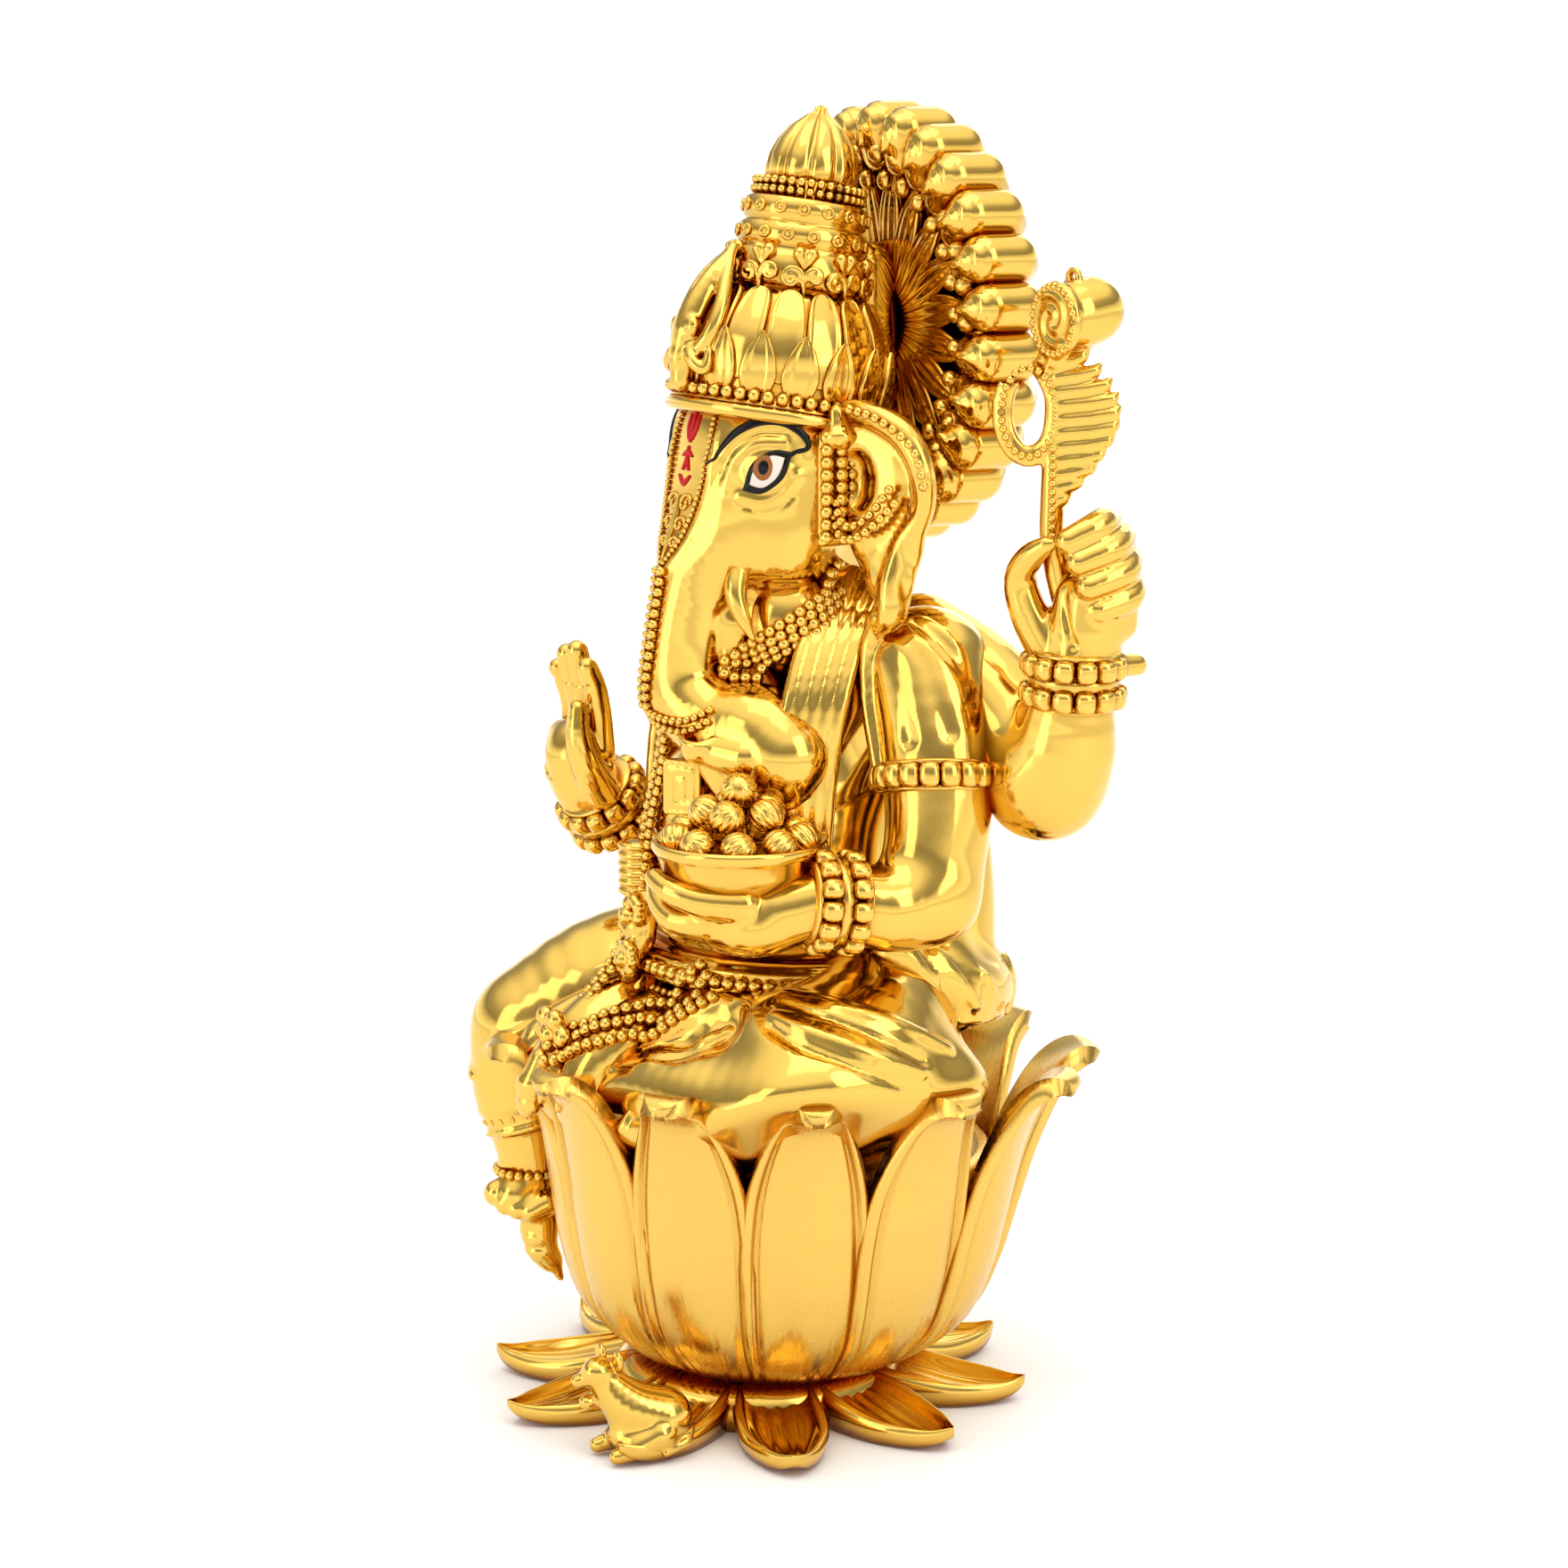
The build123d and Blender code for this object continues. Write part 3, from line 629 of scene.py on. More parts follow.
turn_down = 1.6 * np.clip(np.abs(v) * 12 - 11, 0, 1)
top = height - dish * (1 - v ** 2) * 1.3 + rim + vein - turn_down
outer = np.stack([along, wide * v, top], -1)
under = np.stack([along, wide * v * 0.90, 0.25 + 2.2 * u ** 3 + 2.4 * u ** 12], -1)
leaf = shell("leaf", outer, under, GOLD)
leaves = ring_of(leaf, "base_leaves", GOLD, LEAVES, 0, 0, FIRST_PETAL)
leaves.data.transform(Matrix.Translation((0, BASE_Y * MM, 0)))
collar = turned("base_collar", [(0, 0.05), (33, 0.05), (34, 3), (33, 8.2), (30, 9.4), (0, 9.4)], GOLD,
                (0, BASE_Y))
hand_in(joined("base_leaves_skin", [collar, leaves]), "satin_gold", "base_petals")
deck = turned("seat_skin", [(0, 54.2), (42.9, 54.2), (42.9, 62), (41, 65), (37, 66), (0, 66)], SATIN_GOLD)
hand_in(deck, "satin_gold", "seat_deck")
plinth_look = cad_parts["base_plinth"].data.materials
plinth_look.clear()
plinth_look.append(GOLD)

# %% [markdown]
# ## Head and trunk
# An elephant's head is one egg with cheeks melted on, and the trunk is a tapering
# rod that sweeps to the figure's left and curls back on itself.  Lids and brow
# ridges are lines laid on the clay, in pairs, because the face is symmetric.

# %% Head clay
head = Clay((-34, -44, 138), (38, 24, 248), 0.5)
head.egg((0, -3, 218), (25, 20, 27), 0)
for side in (1, -1):
    head.egg((side * 13, -6, 203), (10.5, 11.5, 12), 7)
    head.egg((side * 8.5, -18.5, 205), (5, 4, 11), 6)
head.egg((0, 3, 196), (17, 13, 12), 6)
trunk_path = [(0, -9, 210), (0, -17.5, 199), (0, -22, 188), (0, -24.5, 177), (1.5, -24.5, 168),
              (9, -20, 161.5),
              (18, -15, 160), (23.5, -12.5, 155.5), (22.5, -14, 150.5), (17.5, -18.5, 149.5),
              (14.5, -23.5, 153.5)]
trunk_radii = [13.5, 11.2, 9.4, 8.8, 9.2, 10.4, 11.4, 10.8, 9.6, 7.6, 5.0]
head.rod(trunk_path[:8], trunk_radii[:8], 7, curved=5)
head.rod(trunk_path[7:], trunk_radii[7:], 2.0, curved=5)
head.rod([(5, -10, 192), (7.5, -14.5, 184), (8.5, -17, 177)], [7.5, 5.6, 2.6], 2.5)
head.egg((14.2, -26.5, 156.8), (4.2, 3.4, 3.4), 1.6)
trunk_tip = Clay((4, -38, 150), (28, -16, 168), 0.3)
trunk_tip.rod([(23, -22, 156), (17.4, -25.6, 157)], [5.0, 4.4], 1.5)
trunk_tip.egg((14, -28.0, 157.6), (5.0, 4.8, 3.9), 1.2)
trunk_tip.egg((13.8, -28.9, 161.4), (3.9, 3.8, 2.9), 0.4, (0, 0, 0), -1)
trunk_tip.rod([(14 + 4.4 * cos(a), -28.2 + 4.2 * sin(a),
                159.9 - 0.30 * (4.4 * cos(a) * 0.85 - 4.2 * sin(a) * 0.53))
               for a in np.linspace(0, 2 * pi, 28)], 0.85, 0.4)
head.rod([(0, 6, 200), (0, 10, 186)], [15, 13], 5)
for side in (1, -1):
    both = partial(mirrored, side)
    BROW = [(8.4, -21.8, 220.0), (10.7, -20.7, 223.4), (13.6, -18.2, 227.4), (17.1, -14.6, 229.8),
            (20.4, -10.9, 229.8), (22.9, -7.6, 227.5), (23.8, -6.4, 224.6), (23.2, -8.6, 223.2)]
    head.line(both(BROW[:7]), 1.9, -0.75)
    head.line(both([(12.6, -20.2, 215.2), (13.6, -19.4, 221.0), (17.4, -16.0, 225.0),
                    (21.4, -11.4, 225.4)]), 1.2, -0.75)
    head.line(both([(11.8, -20.6, 218.0), (13.4, -19.4, 223.2), (17.4, -15.8, 227.2),
                    (21.4, -11.2, 227.4)]), 0.7, 0.5)
    head.line(both([(15.6, -18.6, 213.4), (19.2, -15.2, 212.4), (22.2, -11.6, 214.6), (23.8, -9.0, 218.4)]),
              1.0, -0.7)
    head.line(both([(16.4, -17.9, 211.4), (20.4, -13.4, 210.2), (23.4, -9.8, 214.0)]), 0.6, 0.45)
    head.egg((side * 19.2, -13.6, 219.2), (5.2, 2.2, 4.0), 1.5, (0, 0, side * 48))
    head.line(both([(9.0, -22.6, 206.5), (11.2, -20.6, 200.5), (13.2, -18.6, 194.8), (12.6, -16.5, 190)]),
              1.0, 0.9)
    head.line(both([(15.0, -15.0, 192.6), (17.5, -9.5, 193.4), (19, -3.0, 196)]), 1.2, 1.0)
    head.line(both([(8.8, -21.6, 231), (8.9, -22.2, 220), (8.0, -23.6, 211), (5.0, -26.8, 202),
                    (0, -30.2, 195)]),
              1.0, -0.8)
head.egg((21.5, -22.5, 156), (2.6, 2.6, 2.6), 0.5)
trunk_chain = settle(smooth_path([(0, -31, 196), (0, -33.5, 188), (0, -34.5, 180), (-0.6, -34.5, 172),
                                  (-1.4, -32, 166)], 10), [head], 0.9)
cross_chain = [settle(smooth_path([(-5, -31, 165.4 - d), (3, -33.5, 163.6 - d), (10, -30, 163.4 - d),
                                   (15, -25, 165 - d)], 8), [head], 0.5)
               for d in (0, 2.2)]
head_bits = [clay_object("head_clay", head), beads([trunk_chain + np.array([1.3, 0.1, 0])], 1.2, 2.3, GOLD),
             beads([trunk_chain + np.array([-0.9, 0.1, 0])], 1.0, 2.0, GOLD),
             beads(cross_chain, 1.0, 2.0, GOLD)]
head_bits.append(clay_object("trunk_tip", trunk_tip))
hand_in(joined("head_skin", head_bits), "plated_gold", "head")

# %% [markdown]
# ## Painted eyes and forehead mark
# Real ones are painted by hand in glossy enamel over the gold: a black almond, a
# pinkish white, a brown iris and a black pupil, then a brow that hooks back at its
# outer end.  Each coat is a thin film laid on the clay, so it follows the lids.


# %% Enamel films
def enamel(name, colour, rough=0.12):
    material, _tree, shader = new_material(name)
    shader.inputs["Base Color"].default_value = (*colour, 1)
    shader.inputs["Roughness"].default_value = rough
    shader.inputs["Specular IOR Level"].default_value = 0.2
    return material


BLACK = enamel("black_enamel", (0.006, 0.005, 0.004))
WHITE = enamel("white_enamel", (0.78, 0.66, 0.56))
BROWN = enamel("brown_enamel", (0.30, 0.10, 0.02))
RED = enamel("red_enamel", (0.52, 0.008, 0.012), 0.35)


def film(name, outline, lift, clays, material, rings=6):
    """A thin closed film over the clay, inside an outline."""
    edge = np.array(outline, float)
    centre = edge.mean(0)
    n = len(edge)
    rows = [settle([centre], clays, lift)]
    for s in np.linspace(0, 1, rings + 1)[1:]:
        rows.append(settle(centre + (edge - centre) * s, clays, lift * (1 - 0.5 * s ** 6)))
    rows.append(settle(edge, clays, -0.6))
    pts = np.concatenate(rows + [settle([centre], clays, -0.6)])
    faces = [(0, 1 + (j + 1) % n, 1 + j) for j in range(n)]
    for i in range(rings):
        a = 1 + i * n
        faces += [(a + j, a + (j + 1) % n, a + n + (j + 1) % n, a + n + j) for j in range(n)]
    a, last = 1 + rings * n, len(pts) - 1
    faces += [(last, a + j, a + (j + 1) % n) for j in range(n)]
    return outward(mesh_object(name, pts, faces, material))


def outward(obj):
    """Points every face of a closed mesh outwards."""
    work = bmesh.new()
    work.from_mesh(obj.data)
    bmesh.ops.recalc_face_normals(work, faces=work.faces)
    work.to_mesh(obj.data)
    work.free()
    return obj

# %% [markdown]
# ### Strokes and outlines
# A brow is one stroke of a loaded brush, thick in the middle.  A closed strip that
# follows the clay gives the same, and it keeps a little height like real enamel.

# %% Brush strokes and almond outlines
def stroke(name, path, widths, lift, clays, material, steps=8):
    """A brush stroke: a closed strip with a rounded back, wide in the middle."""
    line, wide = smooth_path(path, steps, widths)
    line = settle(line, clays, 0.0)
    ahead = np.gradient(line, axis=0)
    up = settle(line, clays, 1.0) - settle(line, clays, -1.0)
    side = np.cross(ahead, up)
    side /= np.maximum(np.linalg.norm(side, axis=1, keepdims=True), 1e-6)
    up /= np.maximum(np.linalg.norm(up, axis=1, keepdims=True), 1e-6)
    wide = np.maximum(np.array(wide), 0.08)[:, None] / 2
    section = ((-1, -0.5), (-1, lift * 0.4), (-0.6, lift), (0, lift * 1.15), (0.6, lift), (1, lift * 0.4),
               (1, -0.5))
    rows = [line + side * wide * a + up * b for a, b in section]
    pts = np.stack(rows, 1)
    n, m = pts.shape[:2]
    faces = [(i * m + j, i * m + (j + 1) % m, (i + 1) * m + (j + 1) % m, (i + 1) * m + j)
             for i in range(n - 1) for j in range(m)]
    faces += [tuple(range(m)), tuple((n - 1) * m + j for j in range(m - 1, -1, -1))]
    return outward(mesh_object(name, pts.reshape(-1, 3), faces, material))


def almond(centre, corner_a, corner_b, top, bottom, size=1.0, n=40):
    """A closed eye outline through two corners and two lids."""
    c = np.array(centre, float)
    a, b, t, l = (np.array(p, float) for p in (corner_a, corner_b, top, bottom))
    upper = smooth_path([a, (a + t) / 2 + (t - c) * 0.34, t, (b + t) / 2 + (t - c) * 0.30, b], n // 8)
    lower = smooth_path([b, (b + l) / 2 + (l - c) * 0.30, l, (a + l) / 2 + (l - c) * 0.34, a], n // 8)
    ring = np.concatenate([upper[:-1], lower[:-1]])
    return c + (ring - c) * size

# %% [markdown]
# ### The eyes
# Each eye is a stack of films, every one lifted a little above the last: lid line,
# white, iris and pupil, then the brow.

# %% Both eyes
for side, label in ((1, "left"), (-1, "right")):
    both = partial(mirrored, side)
    lids = both([(19.9, -14.4, 219.3), (15.9, -18.4, 214.8), (23.2, -9.9, 223.4), (19.2, -15.2, 222.6),
                 (20.9, -13.6, 215.7)])
    centre_iris = np.array(both([(19.6, -14.9, 219.3)])[0])
    ahead = np.array(both([(7.3, 8.5, 8.6)])[0])
    ahead /= np.linalg.norm(ahead)
    across = np.array([side * -0.35, -0.25, 0.9])

    def disc(radius, squash=1.0, move=(0, 0, 0)):
        return [centre_iris + np.array(move) + radius * (cos(t) * ahead + squash * sin(t) * across)
                for t in np.linspace(0, 2 * pi, 24, endpoint=False)]

    eye = [film("lid_line", almond(*lids), 0.18, [head], BLACK),
           film("eye_white", almond(*lids, size=0.68), 0.32, [head], WHITE),
           film("iris", disc(2.5, 1.0, (0, 0, 0.5)), 0.42, [head], BROWN),
           film("iris_rim", disc(1.5, 1.0, (0, 0, 0.7)), 0.50, [head], BLACK),
           stroke("brow", both(BROW), [0.5, 1.1, 1.8, 2.1, 1.9, 1.7, 1.3, 0.5], 0.28, [head], BLACK),
           stroke("lid_tail", both([(22.4, -10.8, 222.4), (23.3, -8.8, 223.6), (23.8, -7.2, 224.2)]),
                  [1.2, 0.9, 0.4], 0.25, [head], BLACK)]
    hand_in(joined(label + "_eye_paint", eye), "eye_enamel", label + "_eye")

# %% [markdown]
# ### The red mark
# A three-pronged mark in matt red is painted on the forehead with seven strokes.

# %% Forehead mark
mark = [stroke("prong", p, w, 0.45, [head], RED) for p, w in (
    ([(0, -24, 233.0), (0, -24, 229), (0, -24, 224.8)], [0.6, 1.3, 0.8]),
    ([(-1.9, -24, 232.0), (-1.8, -24, 228.5), (-0.6, -24, 225.5)], [0.5, 1.1, 0.7]),
    ([(1.9, -24, 232.0), (1.8, -24, 228.5), (0.6, -24, 225.5)], [0.5, 1.1, 0.7]),
    ([(-2.0, -24, 221.6), (0, -24, 222.6), (2.0, -24, 221.6)], [0.5, 1.3, 0.5]),
    ([(-1.2, -24, 218.4), (0, -24, 221.4), (0, -24, 224.0)], [0.6, 1.1, 0.5]),
    ([(1.2, -24, 218.4), (0.2, -24, 221.0)], [0.6, 0.9]),
    ([(-2.2, -24, 217.2), (0, -24, 215.4), (2.2, -24, 217.2)], [0.5, 1.5, 0.5]))]
hand_in(joined("forehead_paint", mark), "red_enamel", "forehead_mark")

# %% [markdown]
# ### The panel under the crown
# A beaded border runs down the forehead to the trunk, with scrolls inside it.  The
# paths are settled on the clay first, so the beads sit on the skin.

# %% Brow panel: beaded border and scrolls running down on to the trunk
edge_l = [(7.2, -22.4, 232.5), (7.6, -22.6, 226), (7.4, -22.8, 219), (6.6, -23.8, 211), (4.2, -27, 202.5),
          (0, -30.2, 196.5)]
edge_r = [(-x, y, z) for x, y, z in edge_l]
border = [settle(smooth_path(e, 12), [head], 0.45) for e in (edge_l, edge_r)]
panel = [beads(border, 0.62, 1.3)]
scrolls = []
for side in (1, -1):
    for z0, r0 in ((211.5, 2.4), (206.5, 2.1), (202, 1.5)):
        curl = [(side * (0.4 + r0 * 0.9 + r0 * (1 - t / 9) * cos(t)), -27, z0 + r0 * (1 - t / 9) * sin(t))
                for t in np.linspace(0, 7.5, 16)]
        scrolls.append(stroke("scroll", curl, [0.9] * 16, 0.6, [head], GOLD, 2))
scrolls.append(stroke("drop", [(0, -27, 213.5), (0, -27, 209), (0, -28, 203), (0, -30, 197.5)],
                      [0.6, 1.6, 1.2, 0.5], 0.8,
                      [head], GOLD))
hand_in(joined("brow_panel_relief", panel + scrolls), "plated_gold", "brow_panel")

# %% [markdown]
# ### The tusks
# Short smooth cones set into the cheeks; each is one curved rod of clay.

# %% Tusks
for name, path, radii in (("left_tusk", [(12.4, -17.5, 196), (14.2, -19.2, 191.5), (16.2, -18.6, 186.5),
                                         (17.6, -16.8, 181.8)],
                           [2.9, 2.5, 1.8, 0.7]),
                          ("right_tusk", [(-12.4, -17.5, 196), (-14, -19.2, 191.5), (-15.2, -19.2, 188.2)],
                           [2.9, 2.5, 2.0])):
    tusk = Clay((-22, -26, 176), (22, -8, 202), 0.3)
    tusk.rod(path, radii, 0.5, curved=6)
    hand_in(clay_object(name + "_skin", tusk), "plated_gold", name)

# %% [markdown]
# ## Crown
# The crown leans back with the head, so it is made upright round its own axis and
# tipped at the end.  A lathe makes the core; petals, scrolls, hearts, studs and
# beads are single small reliefs, each repeated round the axis by the ring tree.


# %% Lathe with grooves, and small reliefs
def lathe(name, profile, material, grooves=0, depth=0.0, wide=0.06, steps=120):
    """A turned solid with upright grooves.  Profile rows are (radius, height)."""
    ring = np.linspace(0, 2 * pi, steps, endpoint=False)
    near = np.abs(((ring * max(grooves, 1) / (2 * pi) + 0.5) % 1) - 0.5) / max(grooves, 1) * 2 * pi
    dent = depth * np.exp(-((near / wide) ** 2)) if grooves else 0 * ring
    rows = [np.stack([(r - dent * min(1, r / 4)) * np.cos(ring), (r - dent * min(1, r / 4)) * np.sin(ring),
                      np.full(steps, h)], 1) for r, h in profile]
    pts = np.concatenate([np.array([[0, 0, profile[0][1]]])] + rows + [np.array([[0, 0, profile[-1][1]]])])
    last = len(pts) - 1
    faces = [(0, 1 + (j + 1) % steps, 1 + j) for j in range(steps)]
    for i in range(len(profile) - 1):
        for j in range(steps):
            a, b = 1 + i * steps + j, 1 + i * steps + (j + 1) % steps
            faces.append((a, b, b + steps, a + steps))
    a = 1 + (len(profile) - 1) * steps
    faces += [(last, a + j, a + (j + 1) % steps) for j in range(steps)]
    return mesh_object(name, pts, faces, material)


def leaf_relief(rows, lines=(0.88, 0.62), raised=0.45, thick=1.4, cols=17, fan=0):
    """An upright leaf: rows are (reach, height, half width), lines raised beside its edge."""
    u, v = np.meshgrid(np.linspace(0, 1, 22), np.linspace(-1, 1, cols), indexing="ij")
    reach, rise, wide, _a, _b, _c = curve_at(u, [tuple(r) for r in rows])
    edge = sum(np.exp(-(((np.abs(v) - at_) / 0.1) ** 2)) for at_ in lines)
    face = reach + raised * edge - 0.12 * wide * v ** 2 + (0.22 * np.cos(v * fan) if fan else 0)
    outer = np.stack([face, wide * v, rise], -1)
    inner = np.stack([reach - thick - 0.12 * wide * v ** 2, wide * v * 0.97, rise], -1)
    return shell("leaf_relief", outer, inner, GOLD)


def ball_relief(radii, at_, material=None, rings=8, steps=12, square=1.0):
    """A small egg, for studs and buds.  square below 1 makes it a pillow."""
    def bent(c):
        return abs(c) ** square * (1 if c > 0 else -1)

    rows = [(bent(sin(t)), bent(cos(t))) for t in np.linspace(pi * 0.97, pi * 0.03, rings)]
    ball = lathe("ball_relief", rows, material or GOLD, steps=steps)
    for point in ball.data.vertices:
        x, y, z = point.co / MM
        r = max(sqrt(x * x + y * y), 1e-6)
        point.co = Vector((bent(x / r) * r * radii[0], bent(y / r) * r * radii[1], z * radii[2])) * MM
    ball.data.transform(Matrix.Translation(Vector(at_) * MM))
    return ball


def curl_relief(turns=1.35, size=2.6, thick=0.75, at_=(0, 0, 0), flip=1):
    """A scroll: a round strip wound into a spiral, standing on its tail."""
    clay = Clay((-3, -6, -6), (3, 6, 6), 0.28)
    path = [(0, flip * size * (1 - t * 0.75) * cos(t * turns * 2 * pi),
             size * (1 - t * 0.75) * sin(t * turns * 2 * pi))
            for t in np.linspace(0, 1, 16)]
    clay.rod([(-0.6, flip * size * 1.25, -size * 1.5)] + path,
             [thick * 0.6] + [thick] * 14 + [thick * 1.2, thick * 1.3], 0.4)
    obj = clay_object("curl", clay)
    obj.data.transform(Matrix.Translation(Vector(at_) * MM))
    return obj


def heart_relief(size, at_):
    clay = Clay((-3, -5, -5), (3, 5, 5), 0.3)
    for side in (1, -1):
        clay.rod([(0, side * size * 0.5, size * 0.35), (0, 0, -size)], [size * 0.62, 0.5], 0.3)
    clay.line([(1.2, 0, size), (1.4, 0, 0), (1.2, 0, -size * 0.4)], 0.5, 0.5)
    obj = clay_object("heart", clay)
    obj.data.transform(Matrix.Translation(Vector(at_) * MM))
    return obj


def moved(obj, matrix):
    obj.data.transform(matrix)
    return obj


# %% [markdown]
# ### Dome, brim and leaves
# The dome rests on the brow with a rolled brim.  Tall petals and short leaves in
# front of them are the same relief with other rows.

# %% The crown's own frame
CROWN_FOOT = Vector((0, 0.5, 231.0)) * MM
CROWN_TIP = Matrix.Translation(CROWN_FOOT) @ Matrix.Rotation(radians(-10.0), 4, "X")

dome = [lathe("dome", [(19, -3), (23.4, -2.2), (24.2, -1.2), (24.3, 0.4), (23.2, 1.0), (23.4, 3), (23.6, 9),
                       (22.6, 15),
                       (20.4, 20), (17.6, 24), (15.4, 27)], GOLD),
        ring_of(leaf_relief([(24.0, 2.6, 3.2), (25.0, 6.5, 4.3), (25.2, 11, 3.4), (24.6, 14.4, 1.6),
                             (24.2, 16.2, 0.3)]),
                "short_leaves", GOLD, 16),
        ring_of(leaf_relief([(24.0, 5, 3.4), (24.4, 10, 4.1), (23.6, 15.5, 4.2), (21.6, 20.5, 3.8),
                             (19.0, 24.6, 2.7),
                             (17.8, 26.2, 0.9)], (0.9,), 0.5, 2.2), "tall_petals", GOLD, 16, first=11.25),
        beads([[(24.6 * cos(t), 24.6 * sin(t), 1.9) for t in np.linspace(0, 2 * pi, 80)]], 1.45, 3.2,
              roundness=3),
        lathe("brim", [(22, -3.6), (24.6, -3.4), (25.4, -2.4), (25.4, -1.2), (24.6, -0.2), (22, -0.2)],
              GOLD)]

# %% [markdown]
# ### The crest
# A tall leaf with side scrolls stands on the front of the dome.  It is unique, so it
# is modelled in clay instead of being repeated.

# %% Crest
crest = Clay((-10, -34, -2), (10, -12, 38), 0.4)
crest.rod([(0, -26, 3), (0, -26, 14), (0, -22.5, 25), (0, -17.5, 34)], [2.6, 3.6, 3.2, 1.0], 1, curved=5)
for side in (1, -1):
    crest.rod([(side * 2, -26, 8), (side * 6.4, -24.6, 13), (side * 6.6, -22.6, 20),
               (side * 3.6, -20.4, 27),
               (0, -17.5, 34)], [1.6, 1.9, 1.8, 1.5, 0.8], 0.8, curved=5)
    crest.rod([(side * 2, -26, 12), (side * 4.5, -27, 8), (side * 7.4, -25, 6), (side * 7.5, -24.5, 10)],
              [1.2, 1.5, 1.4, 1.0], 0.6, curved=5)
    crest.egg((side * 3.2, -27.2, 15), (1.8, 1.6, 2.4), 0.6)
crest.egg((0, -27.6, 8), (2.4, 2.2, 3.2), 0.8)
crest.egg((0, -27.4, 14), (1.9, 1.8, 2.2), 0.6)
crest.line([(0, -28, 17), (0, -25, 26), (0, -20, 33)], 0.6, 0.6, 4)
dome.append(clay_object("crest", crest))
hand_in(moved(joined("crown_dome_skin", dome), CROWN_TIP), "plated_gold", "crown_dome")

# %% [markdown]
# ### The bands
# Stacked drums stand on the dome, with a row of scrolls and hearts and two rows of
# studs.  Each motif is made once and repeated.

# %% Bands of the crown
stud = lathe("stud", [(1.5, 0), (1.5, 0.55), (1.1, 0.9), (0.75, 0.55), (0.7, 0.3), (0.35, 0.75)], GOLD,
             steps=16)
stud.data.transform(Matrix.Rotation(radians(90), 4, "Y"))
lower_studs = copied(stud)
bead_rows = [[(12.4 * cos(t), 12.4 * sin(t), h) for t in np.linspace(0, 2 * pi, 60)] for h in (48.2, 50.2)]
bands = [lathe("bands", [(14, 25.4), (15.6, 26.4), (16.2, 30), (15.2, 34.6), (13.9, 35.8), (14.6, 36.4),
                         (14.6, 40.4),
                         (13.6, 41.0), (13.4, 41.6), (14.0, 42.2), (14.0, 46.2), (13.0, 46.8), (11.6, 47.2),
                         (11.8, 50.4), (10, 51)], GOLD),
         ring_of(curl_relief(), "curls", GOLD, 10, 16.6, 28.8),
         ring_of(curl_relief(size=2.0, flip=-1), "small_curls", GOLD, 10, 16.8, 29.6, first=18),
         ring_of(heart_relief(2.7, (0, 0, 0)), "hearts", GOLD, 10, 15.6, 33.4, first=9),
         ring_of(lower_studs, "low_studs", GOLD, 16, 14.5, 38.4),
         ring_of(stud, "high_studs", GOLD, 16, 13.9, 44.2, first=11),
         beads(bead_rows, 1.0, 2.2)]
hand_in(moved(joined("crown_bands_skin", bands), CROWN_TIP), "plated_gold", "crown_bands")

# %% [markdown]
# ### The finial
# A ribbed bud closes the crown.  Grooves pressed into a lathe profile make it.

# %% Finial
finial = lathe("crown_finial_skin", [(9.6, 50), (10.4, 51), (10.6, 53.5), (10.2, 56.5), (8.8, 60),
                                     (6.4, 63.4), (3.6, 65.8),
                                     (1.8, 67.0), (1.4, 68.0), (0.6, 68.6)], GOLD, 10, 1.1, 0.09)
hand_in(moved(finial, CROWN_TIP), "plated_gold", "crown_finial")

# %% [markdown]
# ## Aureole
# The aureole is a wheel behind the head.  Made flat round the vertical axis, it is
# stood up at the end so that its face looks forward.  Knobs, leaf rays and two
# rings of beads each come from the ring tree.

# %% Aureole pieces
HALO_STAND = Matrix.Translation(Vector((0, 29.5, 249.5)) * MM) @ Matrix.Rotation(radians(90), 4, "X")
knob = Clay((34, -7, -14), (53, 7, 8), 0.52)
knob.rod([(42, 0, -8.5), (44.6, 0, -6), (44.6, 0, 1.5), (43.5, 0, 2.8)], [5.4, 5.7, 5.6, 4.6], 2.0)
knob.rod([(38, 0, -8), (38, 0, 1.0)], 4.2, 3.0)
knob.line([(36, -4.4, 6), (42, -5.2, 6), (48.0, -3.4, 5), (49.6, 0, 4.6), (48.0, 3.4, 5), (42, 5.2, 6),
           (36, 4.4, 6)], 0.7, 0.9)
knob.line([(38, -2.6, 7), (44, -3.0, 7), (46.8, 0, 7), (44, 3.0, 7), (38, 2.6, 7)], 0.6, 0.9)
knob.egg((42, 0, 7.0), (2.6, 1.1, 1.8), 0.5)
knobs = ring_of(clay_object("knob", knob), "aureole_knobs_skin", GOLD, 26, first=90)
hand_in(moved(knobs, HALO_STAND), "plated_gold", "aureole_knobs")

# %% [markdown]
# ### The disc and its rays
# Thin leaves fan out on both faces of the disc, and a ribbed post joins it to the
# back of the head.

# %% Aureole disc
disc_rows = [(4, -8.6), (39, -8.6), (41, -7), (41, 1.0), (36, 1.2), (33, 0.2), (30, -0.4), (25, -1.5),
             (6, -2.2)]
plate = [lathe("plate", disc_rows, GOLD)]
rays = leaf_relief([(0, 0, 1.6), (0.6, 7, 3.2), (1.4, 15, 3.8), (1.6, 21, 3.0), (1.0, 25, 1.4),
                    (0.6, 27, 0.3)],
                   (0.85, 0.3), 0.5, 1.6)
rays.data.transform(Matrix.Rotation(radians(90), 4, "Y"))
rays.data.transform(Matrix.Scale(-1, 4, (0, 0, 1)))
rays = outward(rays)
plate.append(ring_of(rays, "rays", GOLD, 20, 8, 0.2, first=9))
back_leaf = leaf_relief([(0, 0, 2.4), (0.6, 12, 5.2), (1.0, 24, 5.4), (0.4, 31, 1.2)], (0.85, 0.3), 0.5,
                        1.6)
back_leaf.data.transform(Matrix.Rotation(radians(90), 4, "Y"))
back_leaf = outward(back_leaf)
